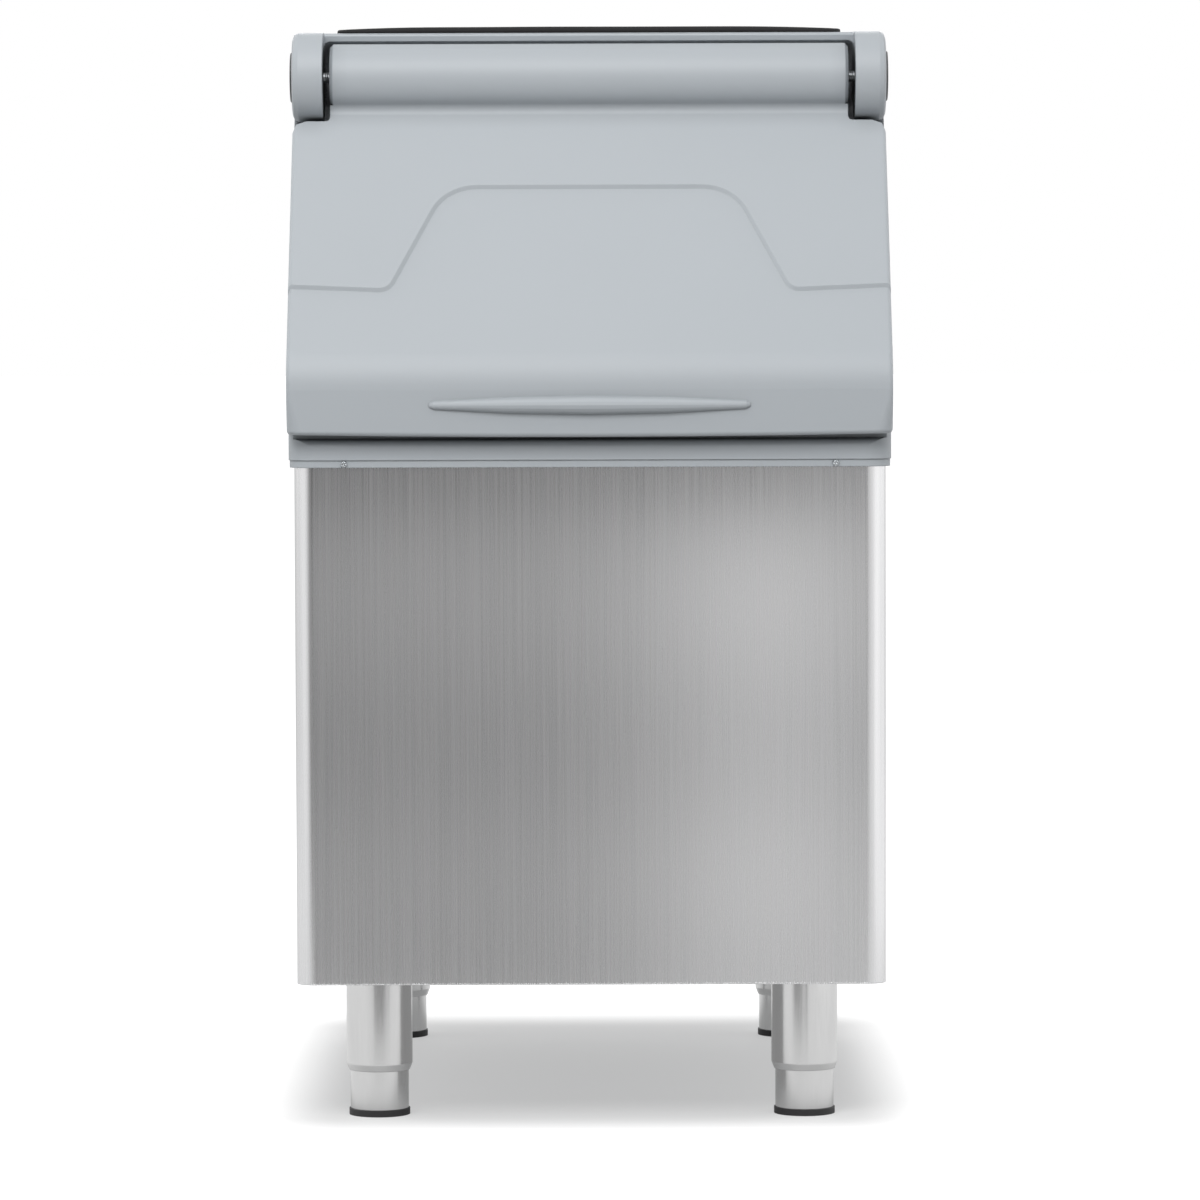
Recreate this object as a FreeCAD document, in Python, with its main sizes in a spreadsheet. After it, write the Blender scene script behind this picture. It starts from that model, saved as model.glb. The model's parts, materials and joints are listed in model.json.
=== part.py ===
import FreeCAD, Part
import math
import os
import Sketcher

# Ice storage bin: a steel cabinet on four levelling legs, with a moulded hood and a sloping door that
# swings up on a barrel hinge. Millimetres, +Z up, the door faces -Y, and the origin is on the floor
# below the middle of the bin.

doc = FreeCAD.newDocument("ice_storage_bin")
dim = doc.addObject("Spreadsheet::Sheet", "dim")
at = doc.addObject("Spreadsheet::Sheet", "at")

SIZES = (
    ("cabinet_width", 560, "steel cabinet, side to side"),
    ("cabinet_depth", 770, "steel cabinet, front to rear panel"),
    ("cabinet_height", 502, "steel wrap, hem to top edge"),
    ("cabinet_base", 134, "hem above the floor"),
    ("sheet_wall", 1.0, "steel sheet of the wrap and rear panel"),
    ("corner_radius", 18, "outside bend of the wrap's front corners"),
    ("rear_bend", 3, "outside bend of the wrap's rear corners"),
    ("hem_width", 16, "folded hem under the wrap"),
    ("return_width", 18, "wrap's returns behind the rear panel's edges"),
    ("fit_gap", 0.3, "clearance between assembled pieces"),
    ("pan_wall", 1.5, "base pan sheet"),
    ("pan_rim", 20, "base pan's upturned rim"),
    ("liner_wall", 4, "moulded liner"),
    ("insulation", 30, "foam between the steel and the liner's sides"),
    ("floor_insulation", 40, "foam under the liner's front edge"),
    ("foam_drop", 12, "foam stops this far below the liner's rim"),
    ("floor_fall", 10, "fall of the liner's floor to the rear"),
    ("liner_radius", 28, "liner's upright corners, inside"),
    ("liner_floor_edge", 12, "bevel of the liner's floor, inside"),
    ("skirt_lap", 11, "hood's skirt over the wrap's top edge"),
    ("skirt_wall", 4, "hood's skirt"),
    ("lip_height", 7, "plain strip at the bottom of the hood"),
    ("rail_proud", 1, "rail and cheeks outside the strip"),
    ("rail_radius", 7.5, "rounded nose of the rail"),
    ("sill_rise", 16, "rail's top above the wrap"),
    ("stop_rise", 26, "door stop's top above the wrap"),
    ("sill_depth", 34, "sill, front of cabinet to its inner face"),
    ("cheek_inset", 34, "cheeks' inner faces inside the cabinet's sides"),
    ("hood_rear_wall", 30, "hood's rear wall inside the cabinet's depth"),
    ("deck_thick", 32, "deck that carries the machine"),
    ("deck_front", 215, "drop opening's front edge behind the cabinet's front"),
    ("deck_rear", 55, "drop opening's rear edge before the cabinet's rear"),
    ("deck_side", 65, "drop opening's side edges inside the cabinet's sides"),
    ("deck_radius", 30, "drop opening's corners"),
    ("hood_edge", 6, "rounding of the hood's upper edges"),
    ("inside_radius", 14, "rounding inside the hood"),
    ("hinge_setback", 154, "hinge axis behind the cabinet's front"),
    ("hinge_rise", 361, "hinge axis above the wrap"),
    ("slope_angle", 33.6, "door's slope from upright"),
    ("ear_radius", 43, "hood's ears round the hinge axis"),
    ("ear_width", 29.5, "hood's ears along the hinge axis"),
    ("ear_proud", 0.4, "ears outside the hood's cheeks"),
    ("ear_edge", 6, "reach of the ears' outer edge, which has two bevels"),
    ("bevel_share", 0.29, "two bevels of a rounded corner meet at this share of its reach"),
    ("header_drop", 42, "header's underside below the hinge axis"),
    ("deck_lead", 9, "deck's front edge behind the hinge axis"),
    ("deck_nose", 5, "rounding of the deck's front edge, which has two bevels"),
    ("barrel_radius", 32, "door's barrel"),
    ("barrel_gap", 6.6, "gap between the barrel and each ear"),
    ("barrel_end", 3, "bevel of the barrel's ends"),
    ("trough_gap", 5, "trough round the barrel"),
    ("trough_corner", 5, "rounding between the trough and the ears, which has two bevels"),
    ("notch_gap", 4.5, "door's notch round each ear"),
    ("notch_inner", 4, "notch's inner corner, which has two bevels"),
    ("notch_outer", 13, "door's shoulder outside the notch, which has two bevels"),
    ("crease_radius", 8, "fillet between the barrel and the door's face"),
    ("door_proud", 0.2, "door's sides outside the hood's cheeks"),
    ("door_reach", 22, "door's face in front of the cabinet"),
    ("door_rise", 18, "door's bottom edge above the wrap"),
    ("door_bow", 2.5, "bottom edge's bow, lower in the middle"),
    ("door_thick", 25, "door at its plain face"),
    ("door_wall", 4, "moulded skin of the door"),
    ("door_side", 12, "door's side walls"),
    ("door_bend", 62, "bend between the slope and the upright part, at the face"),
    ("door_edge", 4, "rounding of the door's edges"),
    ("door_corner", 15, "rounding of the upright part's sides at the bottom edge"),
    ("face_drop", 5.9, "raised face behind the hinge axis"),
    ("emboss_rise", 2.5, "raised face over the plain face"),
    ("emboss_draft", 55, "draft of the raised face's edge"),
    ("emboss_top", 125.3, "arch of the raised edge, along the slope from the axis"),
    ("emboss_foot", 243.3, "arch's feet, along the slope from the axis"),
    ("emboss_outer", 238.3, "outer ends of the raised edge, along the slope from the axis"),
    ("arch_top", 272, "arch's width at its top corners"),
    ("arch_foot", 378, "arch's width at its feet"),
    ("arch_radius", 44, "arch's top corners"),
    ("foot_radius", 16, "arch's feet corners"),
    ("core_top", 52, "door's core starts here along the slope from the axis"),
    ("panel_wall", 3, "door's inner panel"),
    ("seal_gap", 0.6, "gap between the door's back and the hood"),
    ("grip_length", 302, "grip ridge"),
    ("grip_radius", 9, "grip ridge at its middle"),
    ("grip_quarter", 7.7, "grip ridge half-way to its ends"),
    ("grip_end", 4.2, "grip ridge before its tips"),
    ("grip_tip", 2.4, "grip ridge at its tips"),
    ("grip_taper", 4, "length of the grip's tips"),
    ("grip_height", 48, "grip's axis above the wrap"),
    ("grip_sink", 1, "grip's axis behind the face"),
    ("bolt_radius", 5, "hinge bolt's shank"),
    ("bolt_head", 9.2, "hinge bolt's hexagon, corner radius"),
    ("bolt_head_height", 6.4, "hinge bolt's hexagon, height"),
    ("bolt_grip", 36, "hinge bolt's length inside the barrel"),
    ("bolt_room", 2, "barrel's bore past the bolt's end"),
    ("thread_gap", 0.05, "clearance of threads and running fits"),
    ("cap_seat_radius", 17, "counterbore in the ear"),
    ("cap_seat_depth", 12, "counterbore in the ear"),
    ("cap_radius", 24.5, "pivot cap"),
    ("cap_proud", 2.4, "pivot cap outside the ear"),
    ("cap_edge", 1.2, "pivot cap's bevel"),
    ("gasket_thick", 6.5, "foam gasket on the deck"),
    ("gasket_strip", 20, "foam gasket's strip width"),
    ("gasket_side", 36, "gasket's side edges inside the cabinet's sides"),
    ("gasket_front", 168, "gasket's front edge behind the cabinet's front"),
    ("gasket_rear", 14, "gasket's rear edge before the cabinet's rear"),
    ("gasket_radius", 12, "gasket's outer corners"),
    ("drain_rise", 36, "drain's axis above the liner's floor"),
    ("drain_radius", 13.2, "drain's thread"),
    ("drain_bore", 9.5, "drain's bore"),
    ("drain_flange", 20, "drain's inner flange"),
    ("drain_flange_wall", 4, "drain's inner flange"),
    ("grate_wall", 2, "slotted wall across the drain's mouth"),
    ("grate_slot", 2.4, "width of its slots, and their distance from the middle"),
    ("grate_slots", 6, "count of its slots"),
    ("drain_reach", 35, "drain's end behind the rear panel"),
    ("drain_thread_end", 2, "drain's thread past its locknut"),
    ("spigot_radius", 11.5, "drain's plain spigot, where a hose goes on"),
    ("drain_nut_radius", 20.8, "drain's locknut, corner radius"),
    ("drain_nut_height", 8, "drain's locknut"),
    ("leg_side", 75.5, "legs' axes inside the cabinet's sides"),
    ("leg_front", 85, "front legs behind the cabinet's front"),
    ("leg_rear", 88, "rear legs before the cabinet's rear"),
    ("sleeve_radius", 31.75, "leg sleeve"),
    ("sleeve_foot", 43.5, "leg sleeve's lower end above the floor"),
    ("sleeve_neck", 6.5, "leg sleeve's drawn-in end"),
    ("sleeve_lip", 0.8, "leg sleeve's lower rim"),
    ("sleeve_roof", 124, "leg sleeve's closed top, underside above the floor"),
    ("cup_radius", 28, "foot's tube"),
    ("cup_top", 102, "foot's tube, top above the floor"),
    ("cup_gap", 0.5, "sleeve's neck round the foot's tube"),
    ("pad_radius", 29.25, "foot's pad"),
    ("pad_height", 6, "foot's pad"),
)

# Places that follow from the sizes. Along y, the grip's nose and the drain's end are equally far out.
PLACES = (
    ("half", "dim.cabinet_width / 2"),
    ("nose", "dim.door_reach + dim.grip_radius - dim.grip_sink"),
    ("front_y", "(at.nose - dim.cabinet_depth - dim.drain_reach) / 2"),
    ("rear_y", "at.front_y + dim.cabinet_depth"),
    ("return_y", "at.rear_y - dim.sheet_wall"),
    ("wrap_top", "dim.cabinet_base + dim.cabinet_height"),
    ("skirt_z", "at.wrap_top - dim.skirt_lap"),
    ("hood_grow", "dim.fit_gap + dim.skirt_wall + dim.rail_proud"),
    ("hood_x", "at.half + at.hood_grow"),
    ("hood_front", "at.front_y - at.hood_grow"),
    ("hood_rear", "at.rear_y + at.hood_grow"),
    ("axis_y", "at.front_y + dim.hinge_setback"),
    ("axis_z", "at.wrap_top + dim.hinge_rise"),
    ("deck_z", "at.axis_z + dim.ear_radius"),
    ("ear_x", "at.hood_x + dim.ear_proud"),
    ("door_x", "at.hood_x + dim.door_proud"),
    ("leg_x", "at.half - dim.leg_side"),
    ("ear_inner", "at.ear_x - dim.ear_width"),
    ("barrel_x", "at.ear_inner - dim.barrel_gap"),
    ("slope_sin", "sin(dim.slope_angle * 1deg)"),
    ("slope_cos", "cos(dim.slope_angle * 1deg)"),
    ("face", "-dim.face_drop - dim.emboss_rise"),
    ("back", "at.face - dim.door_thick"),
    ("face_y", "at.front_y - dim.door_reach"),
    ("back_y", "at.face_y + dim.door_thick"),
    ("door_bottom", "at.wrap_top + dim.door_rise"),
    ("pan_z", "dim.cabinet_base + dim.sheet_wall"),
    ("pan_top", "at.pan_z + dim.pan_wall"),
    ("liner_x", "at.half - dim.sheet_wall - dim.insulation"),
    ("liner_front", "at.front_y + dim.sheet_wall + dim.insulation"),
    ("liner_rear", "at.return_y - dim.sheet_wall - dim.insulation"),
    ("liner_front_z", "at.pan_top + dim.floor_insulation"),
    ("liner_rear_z", "at.liner_front_z - dim.floor_fall"),
    ("rim_z", "at.wrap_top - dim.liner_wall"),
    ("drain_z", "at.liner_rear_z + dim.liner_wall + dim.drain_rise"),
    ("leg_front_y", "at.front_y + dim.leg_front"),
    ("leg_rear_y", "at.rear_y - dim.leg_rear"),
)

SIDES = (("left", "-1"), ("right", "1"))
GRIP_SIDES = 8
HALF_TURN = 180
UP = FreeCAD.Rotation()
TO_REAR = FreeCAD.Rotation(FreeCAD.Vector(1, 0, 0), -90)
TO_RIGHT = FreeCAD.Rotation(FreeCAD.Vector(0, 1, 0), 90)
TO_LEFT = FreeCAD.Rotation(FreeCAD.Vector(0, 1, 0), -90)

nodes = []


def fill(sheet, entries):
    """Writes one named cell for each entry."""
    for row, (alias, content) in enumerate(entries, start=1):
        sheet.set(f"A{row}", content)
        sheet.setAlias(f"A{row}", alias)


def number(expression):
    """The value that an expression has now."""
    result = at.evalExpression(expression)
    return float(getattr(result, "Value", result))


def slope_y(offset, down):
    """Y of a point that lies off the hinge axis: outwards from the sloping face, and down the slope."""
    return f"(at.axis_y - ({offset}) * at.slope_cos - ({down}) * at.slope_sin)"


def slope_z(offset, down):
    return f"(at.axis_z + ({offset}) * at.slope_sin - ({down}) * at.slope_cos)"


def bend_z(offset, y):
    """Height at which the slope at this offset meets the upright plane at y."""
    return f"(at.axis_z - (at.axis_y - ({y})) * at.slope_cos / at.slope_sin + ({offset}) / at.slope_sin)"


def node(item, label):
    item.Label = label
    nodes.append(item)
    return item


def new_body(label):
    return doc.addObject("PartDesign::Body", label)


def origin_plane(body, role):
    return next(feature for feature in body.Origin.OriginFeatures if feature.Role == role)


def new_sketch(body, name, plane, lift="0", rise="0"):
    """A sketch in an origin plane of a body, lifted along its normal and raised along its own y."""
    sketch = body.newObject("Sketcher::SketchObject", name)
    sketch.AttachmentSupport = [(origin_plane(body, plane), "")]
    sketch.MapMode = "FlatFace"
    sketch.setExpression("AttachmentOffset.Base.y", rise)
    sketch.setExpression("AttachmentOffset.Base.z", lift)
    return sketch


def outline(body, name, plane, corners, lift="0"):
    """A sketch of one closed outline."""
    sketch = new_sketch(body, name, plane, lift)
    draw(sketch, corners)
    return sketch


def draw(sketch, corners, arcs=None):
    """Adds a closed outline whose corners are (x, y) or (x, y, radius), all expressions.

    Edge i leaves corner i, and arcs holds the radius of each edge that bulges to the right of its run.
    """
    arcs = arcs or {}
    base = sketch.GeometryCount
    points = [FreeCAD.Vector(number(corner[0]), number(corner[1]), 0) for corner in corners]
    count = len(points)
    runs = [(points[(i + 1) % count] - points[i]).normalize() for i in range(count)]
    radii = [number(corner[2]) if len(corner) > 2 else 0 for corner in corners]
    turns = [math.atan2(runs[i - 1].cross(runs[i]).z, runs[i - 1].dot(runs[i])) for i in range(count)]
    cuts = [radius * math.tan(abs(turn) / 2) for radius, turn in zip(radii, turns)]
    bound = []
    for i in range(count):
        start = points[i] + runs[i] * cuts[i]
        end = points[(i + 1) % count] - runs[i] * cuts[(i + 1) % count]
        if i in arcs:
            sketch.addGeometry(bulging_arc(start, end, number(arcs[i])))
            bound.append((Sketcher.Constraint("Radius", base + i, number(arcs[i])), arcs[i]))
        else:
            sketch.addGeometry(Part.LineSegment(start, end))
    for i, corner in enumerate(corners):
        before = (i - 1) % count
        edge_in = base + before
        edge_out = base + i
        if radii[i] == 0:
            bound.append((Sketcher.Constraint("Coincident", edge_in, 2, edge_out, 1), None))
            held = (edge_out, 1)
        else:
            inward = FreeCAD.Vector(-runs[i].y, runs[i].x, 0) * math.copysign(radii[i], turns[i])
            centre = points[i] + runs[i] * cuts[i] + inward
            first = math.atan2(*reversed((points[i] - runs[before] * cuts[i] - centre)[0:2]))
            last = math.atan2(*reversed((points[i] + runs[i] * cuts[i] - centre)[0:2]))
            leave, meet = (2, 1) if turns[i] > 0 else (1, 2)
            if turns[i] < 0:
                first, last = last, first
            circle = Part.Circle(centre, FreeCAD.Vector(0, 0, 1), radii[i])
            arc = sketch.addGeometry(Part.ArcOfCircle(circle, first, last))
            mark = sketch.addGeometry(Part.Point(points[i]), True)
            bound.append((Sketcher.Constraint("Tangent", edge_in, 2, arc, meet), None))
            bound.append((Sketcher.Constraint("Tangent", arc, leave, edge_out, 1), None))
            bound.append((Sketcher.Constraint("PointOnObject", mark, 1, edge_in), None))
            bound.append((Sketcher.Constraint("PointOnObject", mark, 1, edge_out), None))
            bound.append((Sketcher.Constraint("Radius", arc, radii[i]), corner[2]))
            held = (mark, 1)
        bound.append((Sketcher.Constraint("DistanceX", *held, points[i].x), corner[0]))
        bound.append((Sketcher.Constraint("DistanceY", *held, points[i].y), corner[1]))
    bind(sketch, bound)


def bulging_arc(start, end, radius):
    chord = end - start
    rise = math.sqrt(radius ** 2 - (chord.Length / 2) ** 2)
    left = FreeCAD.Vector(-chord.y, chord.x, 0).normalize()
    centre = start + chord * 0.5 + left * rise
    first = math.atan2(start.y - centre.y, start.x - centre.x)
    last = math.atan2(end.y - centre.y, end.x - centre.x)
    return Part.ArcOfCircle(Part.Circle(centre, FreeCAD.Vector(0, 0, 1), radius), first, last)


def bind(sketch, bound):
    placed = sketch.addConstraint([constraint for constraint, expression in bound])
    for index, (constraint, expression) in zip(placed, bound):
        if expression is not None:
            sketch.setExpression(f"Constraints[{index}]", expression)


def circles(body, name, plane, centres, radius, lift="0"):
    """A sketch of equal circles."""
    sketch = new_sketch(body, name, plane, lift)
    bound = []
    for x, y in centres:
        centre = FreeCAD.Vector(number(x), number(y), 0)
        ring = sketch.addGeometry(Part.Circle(centre, FreeCAD.Vector(0, 0, 1), number(radius)))
        bound.append((Sketcher.Constraint("Radius", ring, number(radius)), radius))
        bound.append((Sketcher.Constraint("DistanceX", ring, 3, centre.x), x))
        bound.append((Sketcher.Constraint("DistanceY", ring, 3, centre.y), y))
    bind(sketch, bound)
    return sketch


def box_corners(left, front, right, rear, radius=None):
    """Corners of an upright rectangle, counter-clockwise."""
    corners = ((left, front), (right, front), (right, rear), (left, rear))
    if radius is None:
        return list(corners)
    return [corner + (radius,) for corner in corners]


def pad(body, sketch, length, both_ways=False):
    feature = body.newObject("PartDesign::Pad", f"{sketch.Name}_pad")
    feature.Profile = sketch
    feature.SideType = "Symmetric" if both_ways else "One side"
    feature.setExpression("Length", length)
    doc.recompute()
    return feature


def pocket(body, sketch, length, both_ways=False, along_normal=False):
    """Cuts an outline out of a body, and makes sure that the cut met the solid."""
    before = body.Shape.Volume
    feature = body.newObject("PartDesign::Pocket", f"{sketch.Name}_cut")
    feature.Profile = sketch
    feature.SideType = "Symmetric" if both_ways else "One side"
    feature.Reversed = along_normal
    feature.setExpression("Length", length)
    doc.recompute()
    if not body.Shape.Volume < before:
        raise RuntimeError(f"{feature.Name} cuts nothing")
    return feature


def round_edges(body, name, radius, chosen):
    """Fillets the edges of a body whose middle point the test accepts."""
    base = body.Tip
    names = [f"Edge{i}" for i, edge in enumerate(base.Shape.Edges, start=1) if chosen(edge)]
    if not names:
        raise RuntimeError(f"{name} finds no edge")
    feature = body.newObject("PartDesign::Fillet", name)
    feature.Base = (base, names)
    feature.setExpression("Radius", radius)
    doc.recompute()
    return feature


def middle(edge):
    return edge.valueAt((edge.FirstParameter + edge.LastParameter) / 2)


def near(first, second, slack=0.01):
    return abs(first - second) < slack


def place(item, x="0", y="0", z="0", rotation=UP):
    item.Placement = FreeCAD.Placement(FreeCAD.Vector(), rotation)
    item.setExpression("Placement.Base.x", x)
    item.setExpression("Placement.Base.y", y)
    item.setExpression("Placement.Base.z", z)


def turned(name, profile, x="0", y="0", z="0", rotation=UP):
    """A body of revolution about its own Z axis: the profile's corners are (radius, height)."""
    body = new_body(name)
    sketch = outline(body, f"{name}_profile", "XZ_Plane", profile)
    feature = body.newObject("PartDesign::Revolution", f"{name}_turn")
    feature.Profile = sketch
    feature.ReferenceAxis = (sketch, ["V_Axis"])
    place(body, x, y, z, rotation)
    return body


def hexagon(name, radius, height, x="0", y="0", z="0", rotation=UP):
    prism = doc.addObject("Part::Prism", name)
    prism.Polygon = 6
    prism.setExpression("Circumradius", radius)
    prism.setExpression("Height", height)
    place(prism, x, y, z, rotation)
    return prism


def rod(name, radius, height, x="0", y="0", z="0", rotation=UP):
    cylinder = doc.addObject("Part::Cylinder", name)
    cylinder.setExpression("Radius", radius)
    cylinder.setExpression("Height", height)
    place(cylinder, x, y, z, rotation)
    return cylinder


def cut(name, base, tool):
    item = doc.addObject("Part::Cut", name)
    item.Base = base
    item.Tool = tool
    return item


def group(label, pieces):
    item = doc.addObject("Part::Compound", label)
    item.Links = pieces
    return node(item, label)


# Steel cabinet

LEGS = [
    (f"{end}_{side}", f"{sign} * at.leg_x", f"at.leg_{end}_y")
    for end in ("front", "rear")
    for side, sign in SIDES
]


def make_wrap():
    body = new_body("cabinet_wrap")
    inner = "(at.half - dim.sheet_wall)"
    lips = "(at.half - dim.return_width)"
    back = "(at.return_y - dim.sheet_wall)"
    bend = "dim.corner_radius - dim.sheet_wall"
    walls = outline(body, "wrap_walls", "XY_Plane", [
        (f"-{lips}", "at.return_y"),
        (f"-{lips}", back),
        (f"-{inner}", back, "dim.rear_bend - dim.sheet_wall"),
        (f"-{inner}", "at.front_y + dim.sheet_wall", bend),
        (inner, "at.front_y + dim.sheet_wall", bend),
        (inner, back, "dim.rear_bend - dim.sheet_wall"),
        (lips, back),
        (lips, "at.return_y"),
        ("at.half", "at.return_y", "dim.rear_bend"),
        ("at.half", "at.front_y", "dim.corner_radius"),
        ("-at.half", "at.front_y", "dim.corner_radius"),
        ("-at.half", "at.return_y", "dim.rear_bend"),
    ], "dim.cabinet_base")
    pad(body, walls, "dim.cabinet_height")
    hem = "(at.half - dim.hem_width)"
    hem_front = "at.front_y + dim.hem_width"
    hems = outline(body, "wrap_hem", "XY_Plane", [
        (f"-{hem}", "at.return_y"),
        (f"-{hem}", hem_front),
        (hem, hem_front),
        (hem, "at.return_y"),
        ("at.half", "at.return_y", "dim.rear_bend"),
        ("at.half", "at.front_y", "dim.corner_radius"),
        ("-at.half", "at.front_y", "dim.corner_radius"),
        ("-at.half", "at.return_y", "dim.rear_bend"),
    ], "dim.cabinet_base")
    pad(body, hems, "dim.sheet_wall")
    return node(body, "cabinet_wrap")


def make_rear_panel():
    body = new_body("rear_panel")
    edge = "(at.half - dim.rear_bend)"
    plate = outline(body, "rear_plate", "XZ_Plane", box_corners(
        f"-{edge}", "dim.cabinet_base", edge, "at.wrap_top"), "-at.rear_y")
    pad(body, plate, "dim.sheet_wall")
    drain = circles(body, "rear_drain", "XZ_Plane", [("0", "at.drain_z")],
                    "dim.drain_radius + dim.fit_gap", "-at.rear_y")
    pocket(body, drain, "dim.sheet_wall", along_normal=True)
    return node(body, "rear_panel")


def make_base_pan():
    body = new_body("base_pan")
    side = "(at.half - dim.sheet_wall - dim.fit_gap)"
    front = "(at.front_y + dim.sheet_wall + dim.fit_gap)"
    rear = "(at.return_y - dim.sheet_wall - dim.fit_gap)"
    bend = "(dim.corner_radius - dim.sheet_wall - dim.fit_gap)"
    block = outline(body, "pan_block", "XY_Plane", box_corners(
        f"-{side}", front, side, rear, bend), "at.pan_z")
    pad(body, block, "dim.pan_rim")
    wall = "dim.pan_wall"
    inside = outline(body, "pan_inside", "XY_Plane", box_corners(
        f"-({side} - {wall})", f"{front} + {wall}", f"{side} - {wall}", f"{rear} - {wall}",
        f"{bend} - {wall}"), "at.pan_top")
    pocket(body, inside, "dim.pan_rim", along_normal=True)
    return node(body, "base_pan")


def upright(edge):
    ends = edge.Vertexes[0].Point - edge.Vertexes[-1].Point
    return near(abs(ends.z), edge.Length)


def above_floor(point):
    """Whether a point lies above the underside of the liner's sloping floor."""
    run = number("(at.liner_front_z - at.liner_rear_z) / (at.liner_rear - at.liner_front)")
    underside = number("at.liner_front_z") - run * (point.y - number("at.liner_front"))
    return point.z > underside + number("dim.liner_wall") / 2


def liner_side(grow="0"):
    """Side view of the liner's outside, with its floor falling to the rear."""
    return [
        (f"at.liner_front - {grow}", f"at.liner_front_z - {grow}"),
        (f"at.liner_rear + {grow}", f"at.liner_rear_z - {grow}"),
        (f"at.liner_rear + {grow}", "at.wrap_top"),
        (f"at.liner_front - {grow}", "at.wrap_top"),
    ]


def make_liner():
    body = new_body("liner_tub")
    side = outline(body, "liner_side", "YZ_Plane", liner_side())
    pad(body, side, "2 * at.liner_x", both_ways=True)
    hollow = outline(body, "liner_hollow", "YZ_Plane", liner_side("-dim.liner_wall"))
    pocket(body, hollow, "2 * (at.liner_x - dim.liner_wall)", both_ways=True)
    corner_x = number("at.liner_x - dim.liner_wall")
    round_edges(body, "liner_corners", "dim.liner_radius",
                lambda edge: upright(edge) and near(abs(middle(edge).x), corner_x))
    outer_x = number("at.liner_x")
    round_edges(body, "liner_outer_corners", "dim.liner_radius + dim.liner_wall",
                lambda edge: upright(edge) and near(abs(middle(edge).x), outer_x))
    low = number("at.liner_front_z + dim.liner_wall + dim.liner_floor_edge")
    floor = body.Tip
    edges = [f"Edge{i}" for i, edge in enumerate(floor.Shape.Edges, start=1)
             if edge.BoundBox.ZMax < low and above_floor(middle(edge))]
    bevel = body.newObject("PartDesign::Chamfer", "liner_floor_bevel")
    bevel.Base = (floor, edges)
    bevel.setExpression("Size", "dim.liner_floor_edge")
    doc.recompute()
    rim = new_sketch(body, "liner_rim", "XY_Plane", "at.rim_z")
    edge = "(at.half - dim.sheet_wall - dim.fit_gap)"
    draw(rim, box_corners(f"-{edge}", "at.front_y + dim.sheet_wall + dim.fit_gap", edge,
                          "at.return_y - dim.sheet_wall - dim.fit_gap",
                          "dim.corner_radius - dim.sheet_wall - dim.fit_gap"))
    draw(rim, box_corners("-at.liner_x + dim.liner_wall", "at.liner_front + dim.liner_wall",
                          "at.liner_x - dim.liner_wall", "at.liner_rear - dim.liner_wall",
                          "dim.liner_radius"))
    pad(body, rim, "dim.liner_wall")
    drain = circles(body, "liner_drain", "XZ_Plane", [("0", "at.drain_z")],
                    "dim.drain_radius + dim.fit_gap", "-at.liner_rear")
    pocket(body, drain, "dim.liner_wall * 2", both_ways=True)
    return node(body, "liner_tub")


def make_insulation():
    body = new_body("insulation_foam")
    side = "(at.half - dim.sheet_wall - 2 * dim.fit_gap - dim.pan_wall)"
    front = "(at.front_y + dim.sheet_wall + 2 * dim.fit_gap + dim.pan_wall)"
    rear = "(at.return_y - dim.sheet_wall - 2 * dim.fit_gap - dim.pan_wall)"
    bend = "dim.corner_radius - dim.sheet_wall - 2 * dim.fit_gap - dim.pan_wall"
    block = outline(body, "foam_block", "XY_Plane", box_corners(
        f"-{side}", front, side, rear, bend), "at.pan_top")
    pad(body, block, "at.rim_z - dim.foam_drop - at.pan_top")
    hollow = outline(body, "foam_hollow", "YZ_Plane", liner_side("dim.fit_gap"))
    pocket(body, hollow, "2 * (at.liner_x + dim.fit_gap)", both_ways=True)
    drain = circles(body, "foam_drain", "XZ_Plane", [("0", "at.drain_z")],
                    "dim.drain_radius + dim.fit_gap", "-at.rear_y")
    pocket(body, drain, "dim.insulation * 2", along_normal=True)
    return node(body, "insulation_foam")


# Moulded hood

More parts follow.
